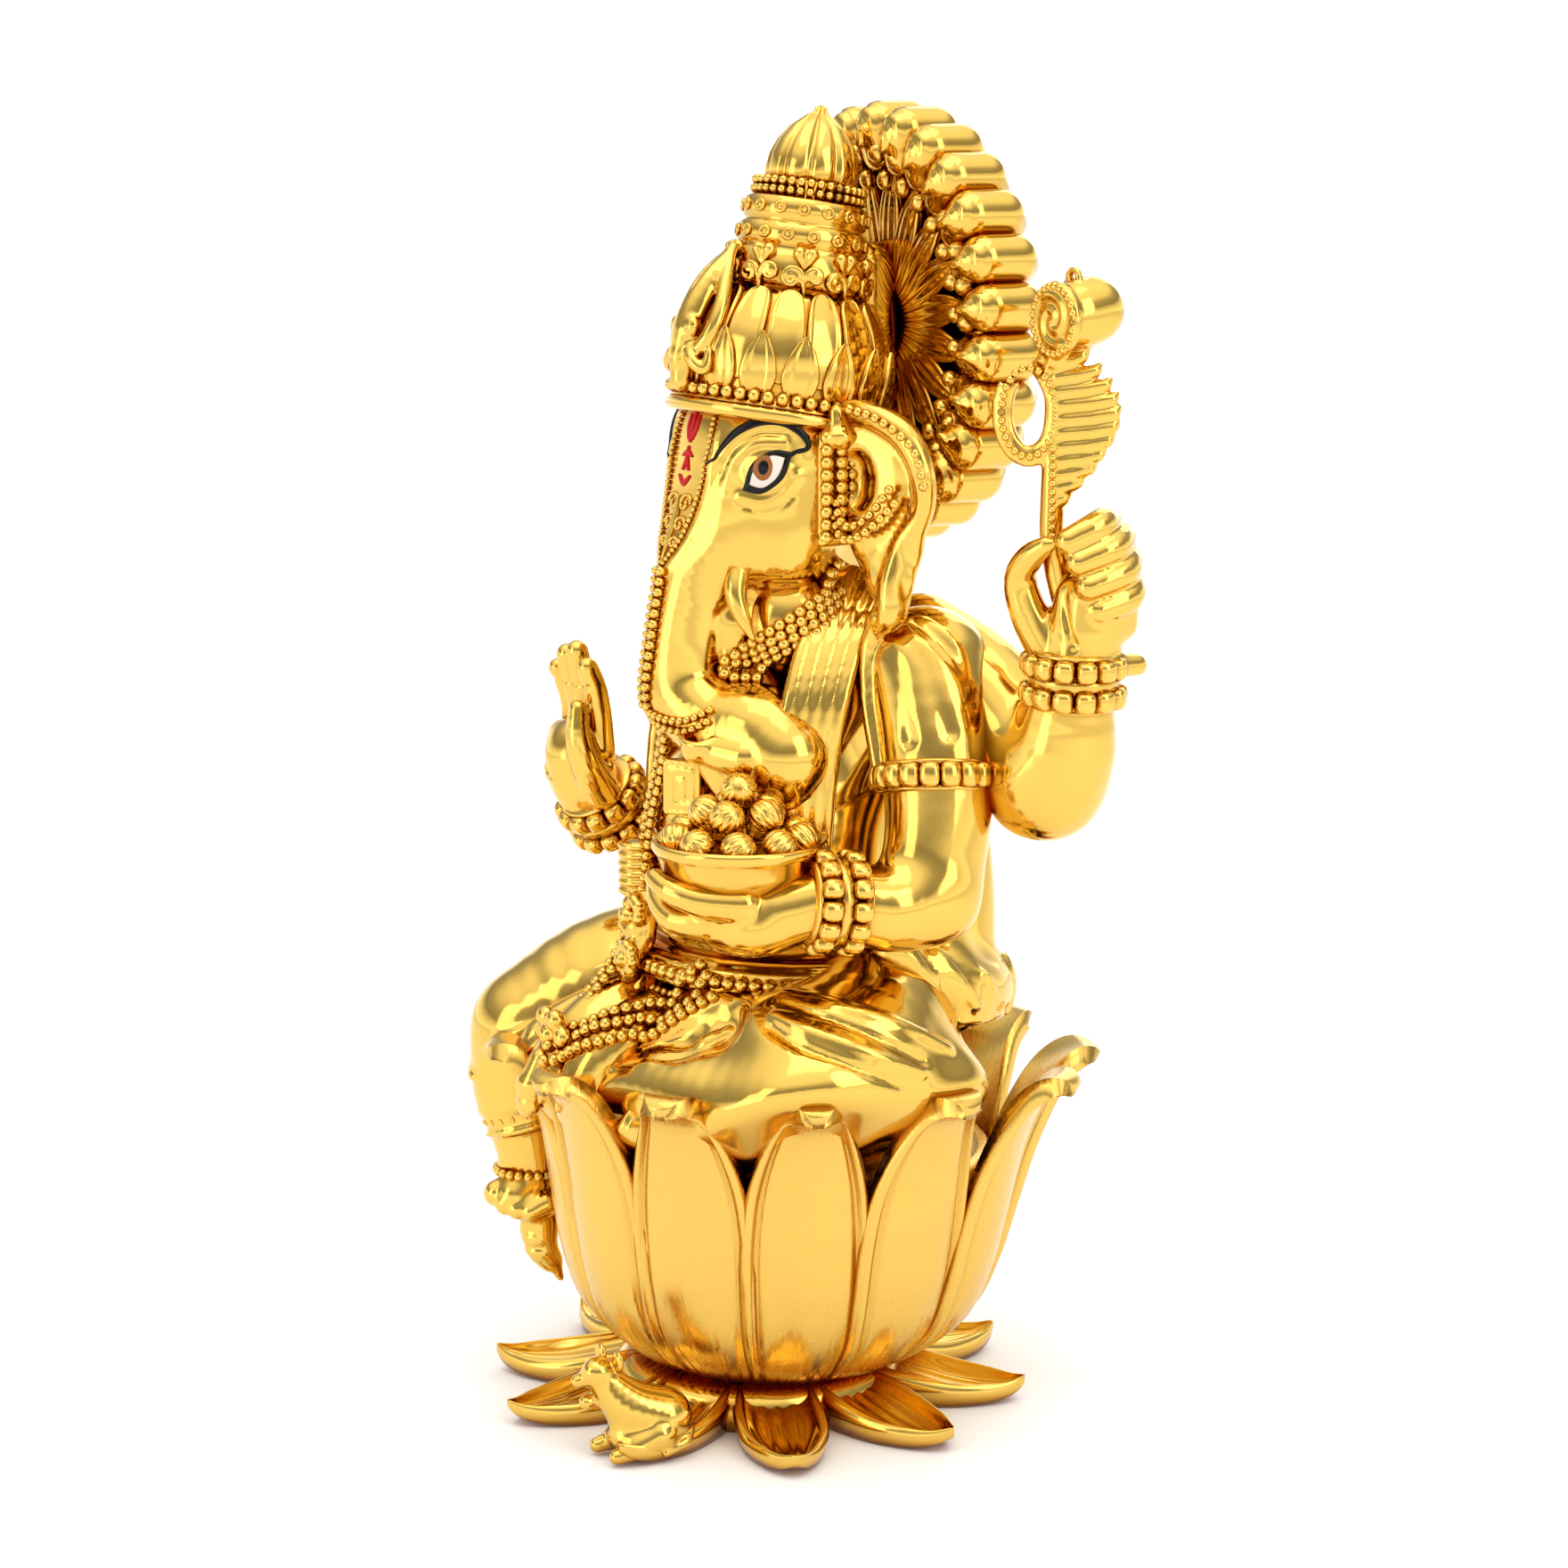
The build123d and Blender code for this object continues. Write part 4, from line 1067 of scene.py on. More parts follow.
plate.append(ring_of(back_leaf, "back_leaves", GOLD, 16, 6, -8.4))
post = Clay((-14, 12, 196), (14, 34, 268), 0.8)
post.rod([(0, 20, 206), (0, 24, 232), (0, 24, 262)], [9, 8.5, 7], 2)
for k_ in range(-2, 3):
    post.line([(k_ * 3.6, 11, 204), (k_ * 3.2, 16, 232), (k_ * 2.6, 18, 262)], 0.9, 0.9)
plate = joined("aureole_plate", plate)
plate = joined("aureole_skin", [moved(plate, HALO_STAND), clay_object("post", post)])
hand_in(plate, "plated_gold", "aureole")

# %% [markdown]
# ### Rings of beads
# Two rings of balls and a ring of pins fill the gap between the rays and the knobs.

# %% Aureole beads
big = ball_relief((2.7, 2.4, 2.9), (0, 0, 0))
small = ball_relief((2.5, 2.0, 2.1), (0, 0, 0))
pins = ball_relief((1.0, 1.0, 2.4), (2.6, 0, -1))
halo_beads = [ring_of(big, "outer_beads", BEAD_GOLD, 30, 38.6, 3.0, first=3),
              ring_of(small, "inner_beads", BEAD_GOLD, 28, 32.6, 2.4, first=6),
              ring_of(pins, "pins", GOLD, 60, 36.4, 1.0, first=3)]
hand_in(moved(joined("aureole_beads_skin", halo_beads), HALO_STAND), "beaded_gold", "aureole_beads")

# %% [markdown]
# ## Ears and temple tassels
# An elephant ear is a thin dished sheet with a rolled rim and a long soft lobe.
# It is one clay sheet bent outwards and back.  Temple tassels hang from the crown:
# a cap and three columns of beads.

# %% Ears
for side, label in ((1, "left"), (-1, "right")):
    both = partial(mirrored, side)
    ear = Clay((min(side * 20, side * 54), -8, 178), (max(side * 20, side * 54), 26, 236), 0.5)
    spine = [(25, 4, 226), (31, 5.5, 220), (33, 6.5, 211), (33, 7.5, 203), (35, 7, 195), (37, 6.5, 189)]
    for (x, y, z), r in zip(spine, (7, 9.5, 11.5, 9, 6, 3.6)):
        ear.egg((side * (x + 2), y, z), (r, 2.3, r), 3.0, (0, 0, side * 24))
    ear.rod(both([(24, 3, 232), (32, 4, 232), (41, 7.5, 228), (45.5, 9.5, 220), (44.5, 10.5, 211),
                  (40, 8, 203),
                  (39.5, 5.5, 195), (39.5, 5.0, 188), (36, 5.0, 184.5)]),
                  [2.4, 2.8, 3.2, 2.8, 2.4, 2.3, 2.7, 2.8, 2.0], 1.2,
            curved=5)
    ear.egg((side * 30.5, 1.2, 217), (5, 4.2, 7), 1.5, (0, 0, side * 24), -1)
    for x0 in (28, 31, 34):
        ear.line(both([(x0 - 2, 0, 211), (x0, 1.5, 204), (x0 + 2, 2, 196), (x0 + 3, 2, 190)]), 0.8, 0.8)
    ear_piece = [clay_object("ear", ear),
                 beads([both(smooth_path([(27, -1, 212), (31, -1.5, 207.5), (37, 0, 209), (41.5, 3.5, 216)],
                                         8)),
                        both(smooth_path([(27, -1.4, 209), (31.5, -2, 204.5), (38, -0.5, 206.5),
                                          (43, 4, 213)], 8)),
                        both(smooth_path([(31, 0, 233), (39, 2.6, 231), (45.5, 7, 225), (47.5, 8.5, 217)],
                                         8))],
                       1.15, 2.3)]
    hand_in(joined(label + "_ear_skin", ear_piece), "plated_gold", label + "_ear")

# %% [markdown]
# ### Temple tassels
# Three columns of beads hang in front of each ear from a small cap.

# %% Temple tassels
for side, label in ((1, "left"), (-1, "right")):
    rows_ = []
    for column, out in ((-1, 26.25), (0, 26.9), (1, 26.25)):
        rows_.append([(side * out, 0.4 + column * 3.3, z) for z in np.linspace(226.5, 204.5, 12)])
    strip = Clay((min(side * 20, side * 32), -8, 200), (max(side * 20, side * 32), 9, 234), 0.45)
    strip.slab((side * 24.8, 0.4, 215), (1.3, 5.0, 12.6), 0.8, 0)
    strip.slab((side * 25.2, 0.4, 203.6), (2.2, 5.6, 1.2), 0.8, 0.5)
    strip.rod([(side * 25.6, 0, 232), (side * 25.8, 0.2, 229.4), (side * 25.8, 0.4, 227.6)],
              [1.9, 2.6, 4.6], 0.8)
    tassel = [clay_object("strip", strip), beads(rows_, 1.62, 2.72, roundness=3)]
    hand_in(joined(label + "_tassel_skin", tassel), "beaded_gold", label + "_temple_tassel")

# %% [markdown]
# ## Body, legs and cloth
# The belly, hips and folded legs are big soft clay forms.  Cloth is the same clay
# with ridges laid on along the run of each fold, so the metal skin stays whole.
# Each casting is still its own mesh, the way the foundry joins them.

# %% Torso and hips
torso = Clay((-44, -36, 94), (44, 44, 206), 0.75)
torso.egg((0, 3, 136), (32, 32, 27), 4).egg((0, 3, 116), (34, 32, 22), 10).egg((0, 14, 162), (33, 20, 26),
                                                                               10)
torso.rod([(-30, 17, 173), (30, 17, 173)], 12, 8).rod([(0, 8, 176), (0, 4, 202)], 15, 8).egg((0, 12, 106),
                                                                                             (33, 27, 14),
                                                                                             6)
torso.egg((10, -2, 183), (13, 13, 14), 6).egg((-10, -2, 183), (13, 13, 14), 6)
torso.line([(0, 40, 196), (0, 37, 170), (0, 38, 140), (0, 40, 104)], 3, 1.6)
for x in (-11, 11):
    torso.egg((x, -3.5, 157), (11, 7, 9), 4)
hand_in(clay_object("torso_skin", torso), "plated_gold", "torso")

hips = Clay((-46, -28, 60), (46, 46, 106), 0.8)
hips.egg((0, 8, 84), (38, 33, 19), 4).rod([(-26, 16, 78), (26, 16, 78)], 14, 6)
for i in range(7):
    a = radians(30 + 20 * i)
    hips.line([(36 * cos(a), 8 + 31 * sin(a), 100), (40 * cos(a + 0.15), 8 + 34 * sin(a + 0.15), 84),
               (38 * cos(a + 0.35), 8 + 33 * sin(a + 0.35), 70)], 1.5, -1.2)
hand_in(clay_object("hips_skin", hips), "plated_gold", "hips")

# %% [markdown]
# ### The folded leg
# The cloth is drawn tight over the knee and gathers at the waist.  Ridges and
# creases start at the hip and fade out on the knee.

# %% Left leg, folded flat, with the cloth drawn smooth over the knee
left_leg = Clay((-6, -62, 60), (70, 34, 112), 0.6)
left_leg.rod([(18, 12, 92), (34, 4, 92), (46, -8, 89), (50, -19, 84)], [21, 20, 18.5, 16], 4, curved=4)
left_leg.egg((46, -24, 78), (17, 15, 13), 8).egg((52, 8, 82), (13, 14, 11), 8)
left_leg.rod([(46, -26, 79), (34, -34, 80), (20, -40, 80), (6, -44, 78)], [15, 12.5, 10, 8], 8, curved=4)
left_leg.egg((34, -30, 70), (17, 14, 9), 8).egg((14, -20, 92), (22, 16, 12), 10).egg((38, -18, 96),
                                                                                     (16, 14, 9), 8)
left_leg.egg((30, -34, 99), (5.5, 6, 5), 4, sign=-1).egg((22, -40, 95), (6, 6, 5), 4, sign=-1)
left_leg.trim(54.5, 0.85, 71)
for line_, w_, h_ in (([(38, -21, 105.6), (46, -18.5, 105.2), (55, -14.3, 104.4), (60, -3.9, 100.2),
                        (59.5, 8, 93.5)], 1.3, -1.3),
                      ([(40, -24.5, 104.2), (52, -20.5, 102.6), (61, -11, 98), (63, -1, 92.5)], 1.3, 1.1),
                      ([(44, -27.5, 102.6), (52, -25.4, 101.2), (61, -17.8, 97.8), (64.3, -8.8, 93.6),
                        (63.8, -1.8, 90.3)], 1.3, -1.3),
                      ([(46, -30, 100.8), (55, -26.8, 97.2), (62.5, -18, 93), (65, -9, 89)], 1.3, 1.1),
                      ([(16, -42, 88), (24, -38, 92), (29, -31, 97)], 1.6, -1.3),
                      ([(4, -44, 88), (14, -38, 94), (22, -28, 102)], 1.9, -1.8),
                      ([(0, -50, 82), (12, -48, 88), (24, -44, 91)], 1.3, -1.1),
                      ([(10, -50, 79), (20, -46, 82), (32, -42, 82)], 1.2, -0.9)):
    left_leg.line(line_, w_, h_)
left_foot = Clay((-16, -62, 60), (30, -30, 90), 0.45)
left_foot.rod([(24, -43, 72), (8, -47, 71), (-2, -50, 70)], [8, 6.6, 5], 2)
for i, r_ in enumerate((2.8, 2.2, 2.1, 2.0, 1.8)):
    left_foot.rod([(-2, -46.5 - i * 1.7, 72 - i * 1.6), (-8 + i * 0.7, -47 - i * 1.9, 72 - i * 1.6)], r_,
                  0.7)
left_foot.line([(18, -52, 74), (19, -49, 80), (18, -42, 82)], 1.2, -1.4)
left_foot.trim(54.5, 0.85, 71)
leg = joined("left_leg_skin", [clay_object("leg", left_leg), clay_object("foot", left_foot)])
hand_in(leg, "plated_gold", "left_leg")

# %% [markdown]
# ### The hanging leg
# The trouser ends in a hem with a band of little rings, above the foot and its
# anklet.

# %% Right leg: the knee stands out over the petals, the shin hangs down
right_leg = Clay((-68, -62, 34), (0, 34, 114), 0.6)
right_leg.rod([(-14, 12, 93), (-27, -6, 94), (-38, -24, 90), (-46, -39, 82)], [20, 20, 18.5, 14.5], 4,
              curved=4)
right_leg.rod([(-46, -40, 81), (-47, -43, 69), (-46, -41.4, 59), (-45.4, -40, 49)], [13.6, 11.4, 9.7, 8.2],
              5, curved=4)
for line_, w_, h_ in (([(-12, -22, 108), (-24, -30, 101), (-38, -42, 92), (-46, -52, 84)], 1.3, -1.1),
                      ([(-10, -28, 103), (-20, -36, 96), (-32, -48, 86), (-42, -56, 79)], 1.4, -1.2),
                      ([(-30, -50, 80), (-38, -55, 74), (-46, -57, 71), (-56, -50, 73)], 1.3, -1.3),
                      ([(-14, -14, 112), (-28, -20, 108), (-42, -32, 100), (-54, -42, 88)], 1.4, -1.1),
                      ([(-36, -2, 104), (-48, -18, 98), (-58, -34, 86)], 1.5, -1.2),
                      ([(-38, -50, 50), (-46, -49, 49), (-54, -44, 48)], 1.1, -1.0),
                      ([(-37, -48, 46), (-45, -48, 44), (-53, -42, 44)], 1.0, -0.9)):
    right_leg.line(line_, w_, h_)
hem = []
for i in range(10):
    a = radians(205 + i * 17)
    hem.append([(-46 + 10.8 * cos(a) + 1.5 * cos(t) * -sin(a),
                 -41.6 + 10.8 * sin(a) + 1.5 * cos(t) * cos(a),
                 56.6 + i * 0.8 + 1.7 * sin(t)) for t in np.linspace(0, 2 * pi, 9)])
for z_ in (53.6, 59.8):
    right_leg.line([(-46 + 10.6 * cos(a), -41.6 + 10.6 * sin(a),
                     z_ + (a - 3.5) * 2.7) for a in np.linspace(3.4, 6.4, 8)], 1.0, -1.3)
hem_rings = [stroke("hem_ring", settle(smooth_path(h, 3), [right_leg], 0.25), [0.8] * 4, 0.3, [right_leg],
                    GOLD, 14)
             for h in hem]
hand_in(joined("right_leg_skin", [clay_object("leg", right_leg)] + hem_rings), "plated_gold", "right_leg")

right_foot = Clay((-60, -66, 20), (-30, -32, 50), 0.42)
right_foot.rod([(-45.4, -40, 50), (-45, -42.5, 45), (-43.5, -46, 42)], [7.6, 6.6, 5.0], 2, curved=3)
for i, (x, y, z) in enumerate(((-46.6, -49.6, 42.2), (-43.2, -48.8, 40.4), (-40.4, -47.2, 39.4),
                               (-37.8, -45.2, 39.0))):
    right_foot.rod([(x + 1, y + 4, z + 2), (x, y, z)], [2.9, 3.3 - 0.35 * i], 0.6)
right_foot.rod([(-43, -40, 42), (-41.5, -41, 36), (-40, -41.4, 30), (-38.6, -39.6, 26)],
               [5.6, 5.0, 4.2, 3.0], 1.5, curved=3)
right_foot.rod([(-38.6, -39.4, 27), (-37.4, -37.6, 21.6)], [2.2, 1.0], 0.8)
right_foot.line([(-47, -44, 37), (-42, -46.6, 34.6), (-37, -45, 34)], 0.8, 0.8)
right_foot.line([(-46, -42, 31.6), (-41, -46, 30), (-36, -43, 30)], 0.7, 0.8)
anklet = beads([[(-45.3 + 8.2 * cos(a), -41 + 8.2 * sin(a), 47.6) for a in np.linspace(0, 2 * pi, 40)]],
               1.2, 2.3)
hand_in(joined("right_foot_skin", [clay_object("foot", right_foot), anklet]), "plated_gold", "right_foot")

# %% [markdown]
# ### The apron
# Between the knees the waist cloth falls in pleats.  Alternate lines are raised and
# pressed in, and the low edge stops behind the petal tips.

# %% Pleated apron between the knees
apron = Clay((-36, -66, 52), (12, -18, 104), 0.5)
apron.rod([(-10, -28, 98), (-11, -42, 90), (-12, -51, 80), (-13, -54, 69)], [7, 8, 8, 6.5], 3, curved=4)
apron.rod([(-20, -34, 92), (-25, -46, 83), (-29, -51, 70)], [6, 7.5, 6], 4, curved=4)
apron.rod([(2, -34, 94), (1, -45, 87), (0, -51, 78), (-1, -53, 69)], [6, 7, 6.5, 5.5], 4, curved=4)
apron.trim(55.5, 0.75, 70)
for i in range(8):
    x = -27 + i * 4
    lead = x * 0.45 - 6
    apron.line([(lead, -38, 97), ((x + lead) / 2, -52, 87), (x, -59, 76), (x - 1.5, -60, 62)], 1.05,
               -1.5 if i % 2 else 1.0)
for z_, y_ in ((69.5, -59), (67.0, -59)):
    apron.line([(-31, y_ + 4, z_), (-22, y_, z_ - 0.6), (-8, y_ - 0.6, z_ - 0.6), (4, y_ + 2, z_ + 0.6)],
               0.8, -0.8)
hand_in(clay_object("dhoti_apron_skin", apron), "plated_gold", "dhoti_apron")

# %% [markdown]
# ### The back
# The shawl falls behind the figure in long pleats and wraps round the waist.

# %% Cloth down the back, wrapping round to the sides
drape = Clay((-52, -6, 84), (52, 60, 184), 0.8)
drape.rod([(0, 30, 176), (0, 38, 150), (0, 42, 118), (0, 44, 100)], [14, 13, 14, 14], 4, curved=4)
for side in (1, -1):
    drape.rod([(side * 16, 28, 172), (side * 20, 32, 146), (side * 24, 32, 120), (side * 25, 30, 102)],
              [10, 10, 11, 12], 8,
              curved=4)
    drape.rod([(side * 30, 20, 132), (side * 33, 22, 114), (side * 36, 24, 98)], [5, 7, 8.5], 5, curved=4)
    drape.rod([(side * 40, 6, 112), (side * 41, 16, 104), (side * 37, 32, 99), (side * 24, 44, 97)],
              [5, 6, 6.5, 7], 5, curved=4)
    drape.line([(side * 47, 4, 99), (side * 46, 18, 95), (side * 41, 34, 93), (side * 20, 52, 90),
                (0, 57, 89)], 1.3, -1.4)
    drape.line([(side * 47, 6, 96), (side * 46, 18, 92), (side * 40, 34, 90), (side * 20, 52, 87),
                (0, 57, 86)], 0.9, -1.1)
for i in range(-5, 6):
    drape.line([(i * 2.6, 44 - abs(i), 178), (i * 3.6, 50 - abs(i) * 1.1, 150),
                (i * 5.4, 56 - abs(i) * 2.0, 120),
                (i * 7.4, 58 - abs(i) * 3.4, 92)], 1.5, -1.4 if i % 2 else 0.9)
for side in (1, -1):
    for j in range(3):
        drape.line([(side * (36 - j), 4 + j * 6, 124), (side * 44, 8 + j * 8, 112),
                    (side * 47, 16 + j * 9, 98)], 1.5, -1.7)
        drape.line([(side * (36 - j), 7 + j * 6, 123), (side * 44, 11.5 + j * 8, 111),
                    (side * 47, 19.5 + j * 9, 97)], 1.1, 0.9)
hand_in(clay_object("back_drape_skin", drape), "plated_gold", "back_drape")

# %% [markdown]
# ### Scarves
# Five narrow rods side by side, hardly blended, read as a pleated scarf.

# %% Scarves over the shoulders
for side, label in ((1, "left"), (-1, "right")):
    scarf = Clay((min(side * 8, side * 46), -24, 130), (max(side * 8, side * 46), 36, 204), 0.55)
    for i in range(5):
        o = (i - 2) * 3.1
        scarf.rod([(side * (15 + o * 0.5), 12 + o * 1.3, 194 - abs(i - 2) * 0.8),
                   (side * (23 + o * 0.5), 3 + o * 0.9, 186),
                   (side * (29 + o * 0.42), -7 + o * 0.85, 170),
                   (side * (30 + o * 0.42), -11 + o * 0.85, 152),
                   (side * (30 + o * 0.42), -12 + o * 0.8, 136)], [2.2, 2.1, 1.9, 1.75, 1.6], 0.35,
                   curved=5)
    scarf.rod([(side * 14, 12, 188), (side * 25, 0, 170), (side * 26, -6, 150), (side * 26, -7, 138)],
              [5, 4.2, 4, 3.5], 0.4,
              curved=4)
    hand_in(clay_object("shawl_" + label + "_skin", scarf), "plated_gold", "shawl_" + label)

# %% [markdown]
# ## Arms, bangles and hands
# Front and rear arms are tapered rods with the shawl's folds on the shoulder.
# A bangle is a lathe ring with a row of squarish beads from the ring tree,
# turned to stand across its arm.


# %% Bangles
def stand_on(at_, toward):
    """The move that sets something turned flat on the ground at a place, facing a way."""
    turn = Vector(toward).to_track_quat("Z", "Y").to_matrix().to_4x4()
    return Matrix.Translation(Vector(at_) * MM) @ turn


def bangle(at_, toward, radius, rows, stone=(1.9, 2.2, 1.9), count=14):
    bits = []
    for h in rows:
        bits.append(ring_of(ball_relief(stone, (0, 0, 0), square=0.62), "stones", BEAD_GOLD, count, radius,
                            h))
    low, high = min(rows) - stone[2], max(rows) + stone[2]
    bits.append(lathe("band", [(radius - 2.4, low - 0.8), (radius - 0.4, low - 0.6),
                               (radius + 0.1, low - 0.1), (radius - 0.8, low + 0.5),
                               (radius - 0.8, high - 0.5), (radius + 0.1, high + 0.1),
                               (radius - 0.4, high + 0.6),
                               (radius - 2.4, high + 0.8)], BEAD_GOLD, steps=56))
    if len(rows) > 1:
        mid = sum(rows) / len(rows)
        bits.append(lathe("mid_band", [(radius - 2, mid - 1.3), (radius + 0.9, mid - 0.9),
                                       (radius + 0.5, mid), (radius + 0.9, mid + 0.9),
                                       (radius - 2, mid + 1.3)], BEAD_GOLD, steps=56))
    return moved(joined("bangle", bits), stand_on(at_, toward))


# %% [markdown]
# ### Front arms
# The sleeve is pleated at the shoulder.  An armlet of squarish stones clasps the
# upper arm.

# %% Front arms
upper = {1: [(36, 18, 174), (44, 15, 160), (49, 12, 142), (51, 8, 127)],
         -1: [(-36, 18, 174), (-44, 14, 160), (-49, 11, 142), (-51, 8, 127)]}
lower = {1: [(51, 8, 127), (51, -3, 125), (48, -14, 128)],
         -1: [(-51, 8, 127), (-49, -6, 128), (-45, -18, 134)]}
for side, label in ((1, "left"), (-1, "right")):
    arm = Clay((min(side * 24, side * 68), -28, 110), (max(side * 24, side * 68), 38, 192), 0.6)
    arm.rod(upper[side], [14.5, 13, 11.8, 11.4], 3, curved=4).rod(lower[side], [11.4, 9.8, 7.8], 3,
                                                                  curved=3)
    arm.egg((side * 33, 17, 180), (9, 9, 7), 4)
    for q in ([(side * 36, 4, 184), (side * 45, 2, 174), (side * 50, 3, 162)],
              [(side * 38, 6, 187), (side * 50, 8, 178), (side * 56, 10, 164)],
              [(side * 38, 10, 189), (side * 52, 16, 178), (side * 58, 18, 166)]):
        arm.line(q, 1.5, 2.3)
        arm.line([(x + side * 2.6, y - 0.8, z) for x, y, z in q], 1.3, -1.7)
    arm.rod([(side * 36, 6, 187), (side * 32.6, 4.6, 181), (side * 34, 3, 170), (side * 38, 2.4, 158),
             (side * 41, 2, 150)],
            [2.4, 2.0, 1.8, 1.6, 1.2], 1, curved=4)
    arm.egg((side * 36, 6, 187), (4.0, 3.6, 2.8), 1)
    hand_in(clay_object(label + "_arm_skin", arm), "plated_gold", label + "_arm")
    ring = [bangle((side * 46.6, 12.6, 152), (side * 0.22, -0.12, -1), 12.8, (0,), (2.0, 2.35, 2.8), 18),
            ring_of(ball_relief((1.6, 1.2, 4.2), (0, 0, 0)), "stud", BEAD_GOLD, 1, 13.4, 0)]
    ring[1] = moved(ring[1], stand_on((side * 46.6, 12.6, 152), (side * 0.22, -0.12, -1)))
    hand_in(joined(label + "_armlet_skin", ring), "beaded_gold", label + "_armlet")

# %% [markdown]
# ### Rear arms
# The second pair rises from behind the shoulders, with the elbows out.

# %% Rear arms
for side, label in ((1, "left"), (-1, "right")):
    arm = Clay((min(side * 18, side * 86), 12, 134), (max(side * 18, side * 86), 50, 194), 0.6)
    arm.rod([(side * 24, 24, 178), (side * 40, 29, 170), (side * 54, 32, 158), (side * 60, 33, 152)],
            [12, 12.5, 12.5, 13], 4, curved=4)
    arm.rod([(side * 60, 33, 152), (side * 67, 33, 160), (side * 70, 33, 176)], [13.4, 11.6, 8.4], 4,
            curved=4)
    arm.line([(side * 30, 16, 188), (side * 44, 18, 178), (side * 52, 20, 164)], 1.6, 1.2)
    hand_in(clay_object("rear_" + label + "_arm_skin", arm), "plated_gold", "rear_" + label + "_arm")
    hand_in(bangle((side * 70.2, 33, 175.5), (side * 0.06, 0, 1), 9.6, (-3.2, 3.4), (2.5, 2.35, 2.5), 13),
            "beaded_gold",
            "rear_" + label + "_bracelets")
hand_in(bangle((47.5, -14.5, 127), (-0.25, -1, 0.1), 9.6, (-3.5, 3.5), (2.4, 2.3, 2.3), 13), "beaded_gold",
        "left_bracelets")
hand_in(bangle((-44.6, -19.5, 134.5), (0.1, -0.45, 0.55), 9.6, (-3.5, 3.5), (2.4, 2.3, 2.3), 13),
        "beaded_gold", "right_bracelets")

# %% [markdown]
# ### The hand under the bowl
# Four fingers reach under the bowl and the thumb lies along its side.

# %% Left hand, open under the bowl
palm = Clay((-4, -54, 108), (62, -12, 142), 0.45)
palm.rod([(47, -18, 127), (40, -27, 124), (31, -33, 122.5)], [7.6, 8.0, 7.2], 2, curved=4)
palm.egg((36, -29, 121.5), (11, 9, 6.5), 3)
for tip in ([(33, -38, 122.5), (27, -42.5, 122.6), (21, -43, 125.6), (17.6, -42, 128.6)],
            [(31, -35, 120.4), (24, -39, 119.8), (17.4, -39.6, 122.2), (13.8, -38.6, 125.8)],
            [(30, -31, 119.2), (22, -34.4, 117.8), (14.6, -34.4, 119.8), (11, -33.4, 123)],
            [(30, -27, 119), (22, -29, 117.4), (15, -29, 119.2), (11.6, -28, 122)]):
    palm.rod(tip, [3.8, 3.3, 2.9, 2.3], 0.7, curved=4)
palm.rod([(41, -34, 127.4), (36, -41, 128), (30, -45.6, 130), (24.6, -46.6, 132)], [4.4, 3.6, 3.0, 2.2],
         1.0, curved=4)
hand_in(clay_object("left_hand_skin", palm), "plated_gold", "left_hand")

# %% [markdown]
# ### The blessing hand
# The palm faces forward with a small flower on it.  Two short lines mark the joints
# of each finger.

# %% Right hand, raised in blessing, with a flower on the palm
bless = Clay((-62, -44, 124), (-28, -8, 178), 0.4)
bless.rod([(-45, -21, 133), (-45, -25, 140), (-45, -27, 147)], [7.4, 8.0, 8.0], 2, curved=3)
bless.slab((-45, -26.5, 146), (9.4, 5.2, 9), 4, 3)
for i, (x, tip, r_) in enumerate(((-37.4, 169, 2.75), (-42.3, 172.3, 2.85), (-47.2, 171, 2.75),
                                  (-51.8, 167.2, 2.45))):
    bless.rod([(x, -25, 149), (x - 0.2, -25.4 + i * 0.3, 157), (x - 0.1, -26.6, 164), (x, -28.6, tip)],
              [3.3, r_ + 0.3, r_ + 0.1, r_ - 0.2],
              0.6, curved=4)
    for z_ in (157.5, 164.5):
        bless.line([(x - 2, -29.2, z_), (x + 2, -29.2, z_)], 0.45, 0.5)
bless.rod([(-37, -25, 139), (-35.4, -30, 146), (-35.8, -32, 153), (-36.6, -31.6, 159.5)],
          [4.4, 3.7, 3.1, 2.3], 1.6, curved=4)
flower = ring_of(ball_relief((1.1, 2.0, 1.0), (0, 0, 0)), "flower", GOLD, 8, 2.6, 0)
flower = joined("flower", [flower, ball_relief((1.5, 1.5, 1.3), (0, 0, 0))])
flower.data.transform(stand_on((-46, -33.2, 144), (0, -1, 0)))
hand_in(joined("right_hand_skin", [clay_object("bless", bless), flower]), "plated_gold", "right_hand")

# %% [markdown]
# ### The rear fists
# Four bent rods close over each shaft and the thumb comes round to meet them.

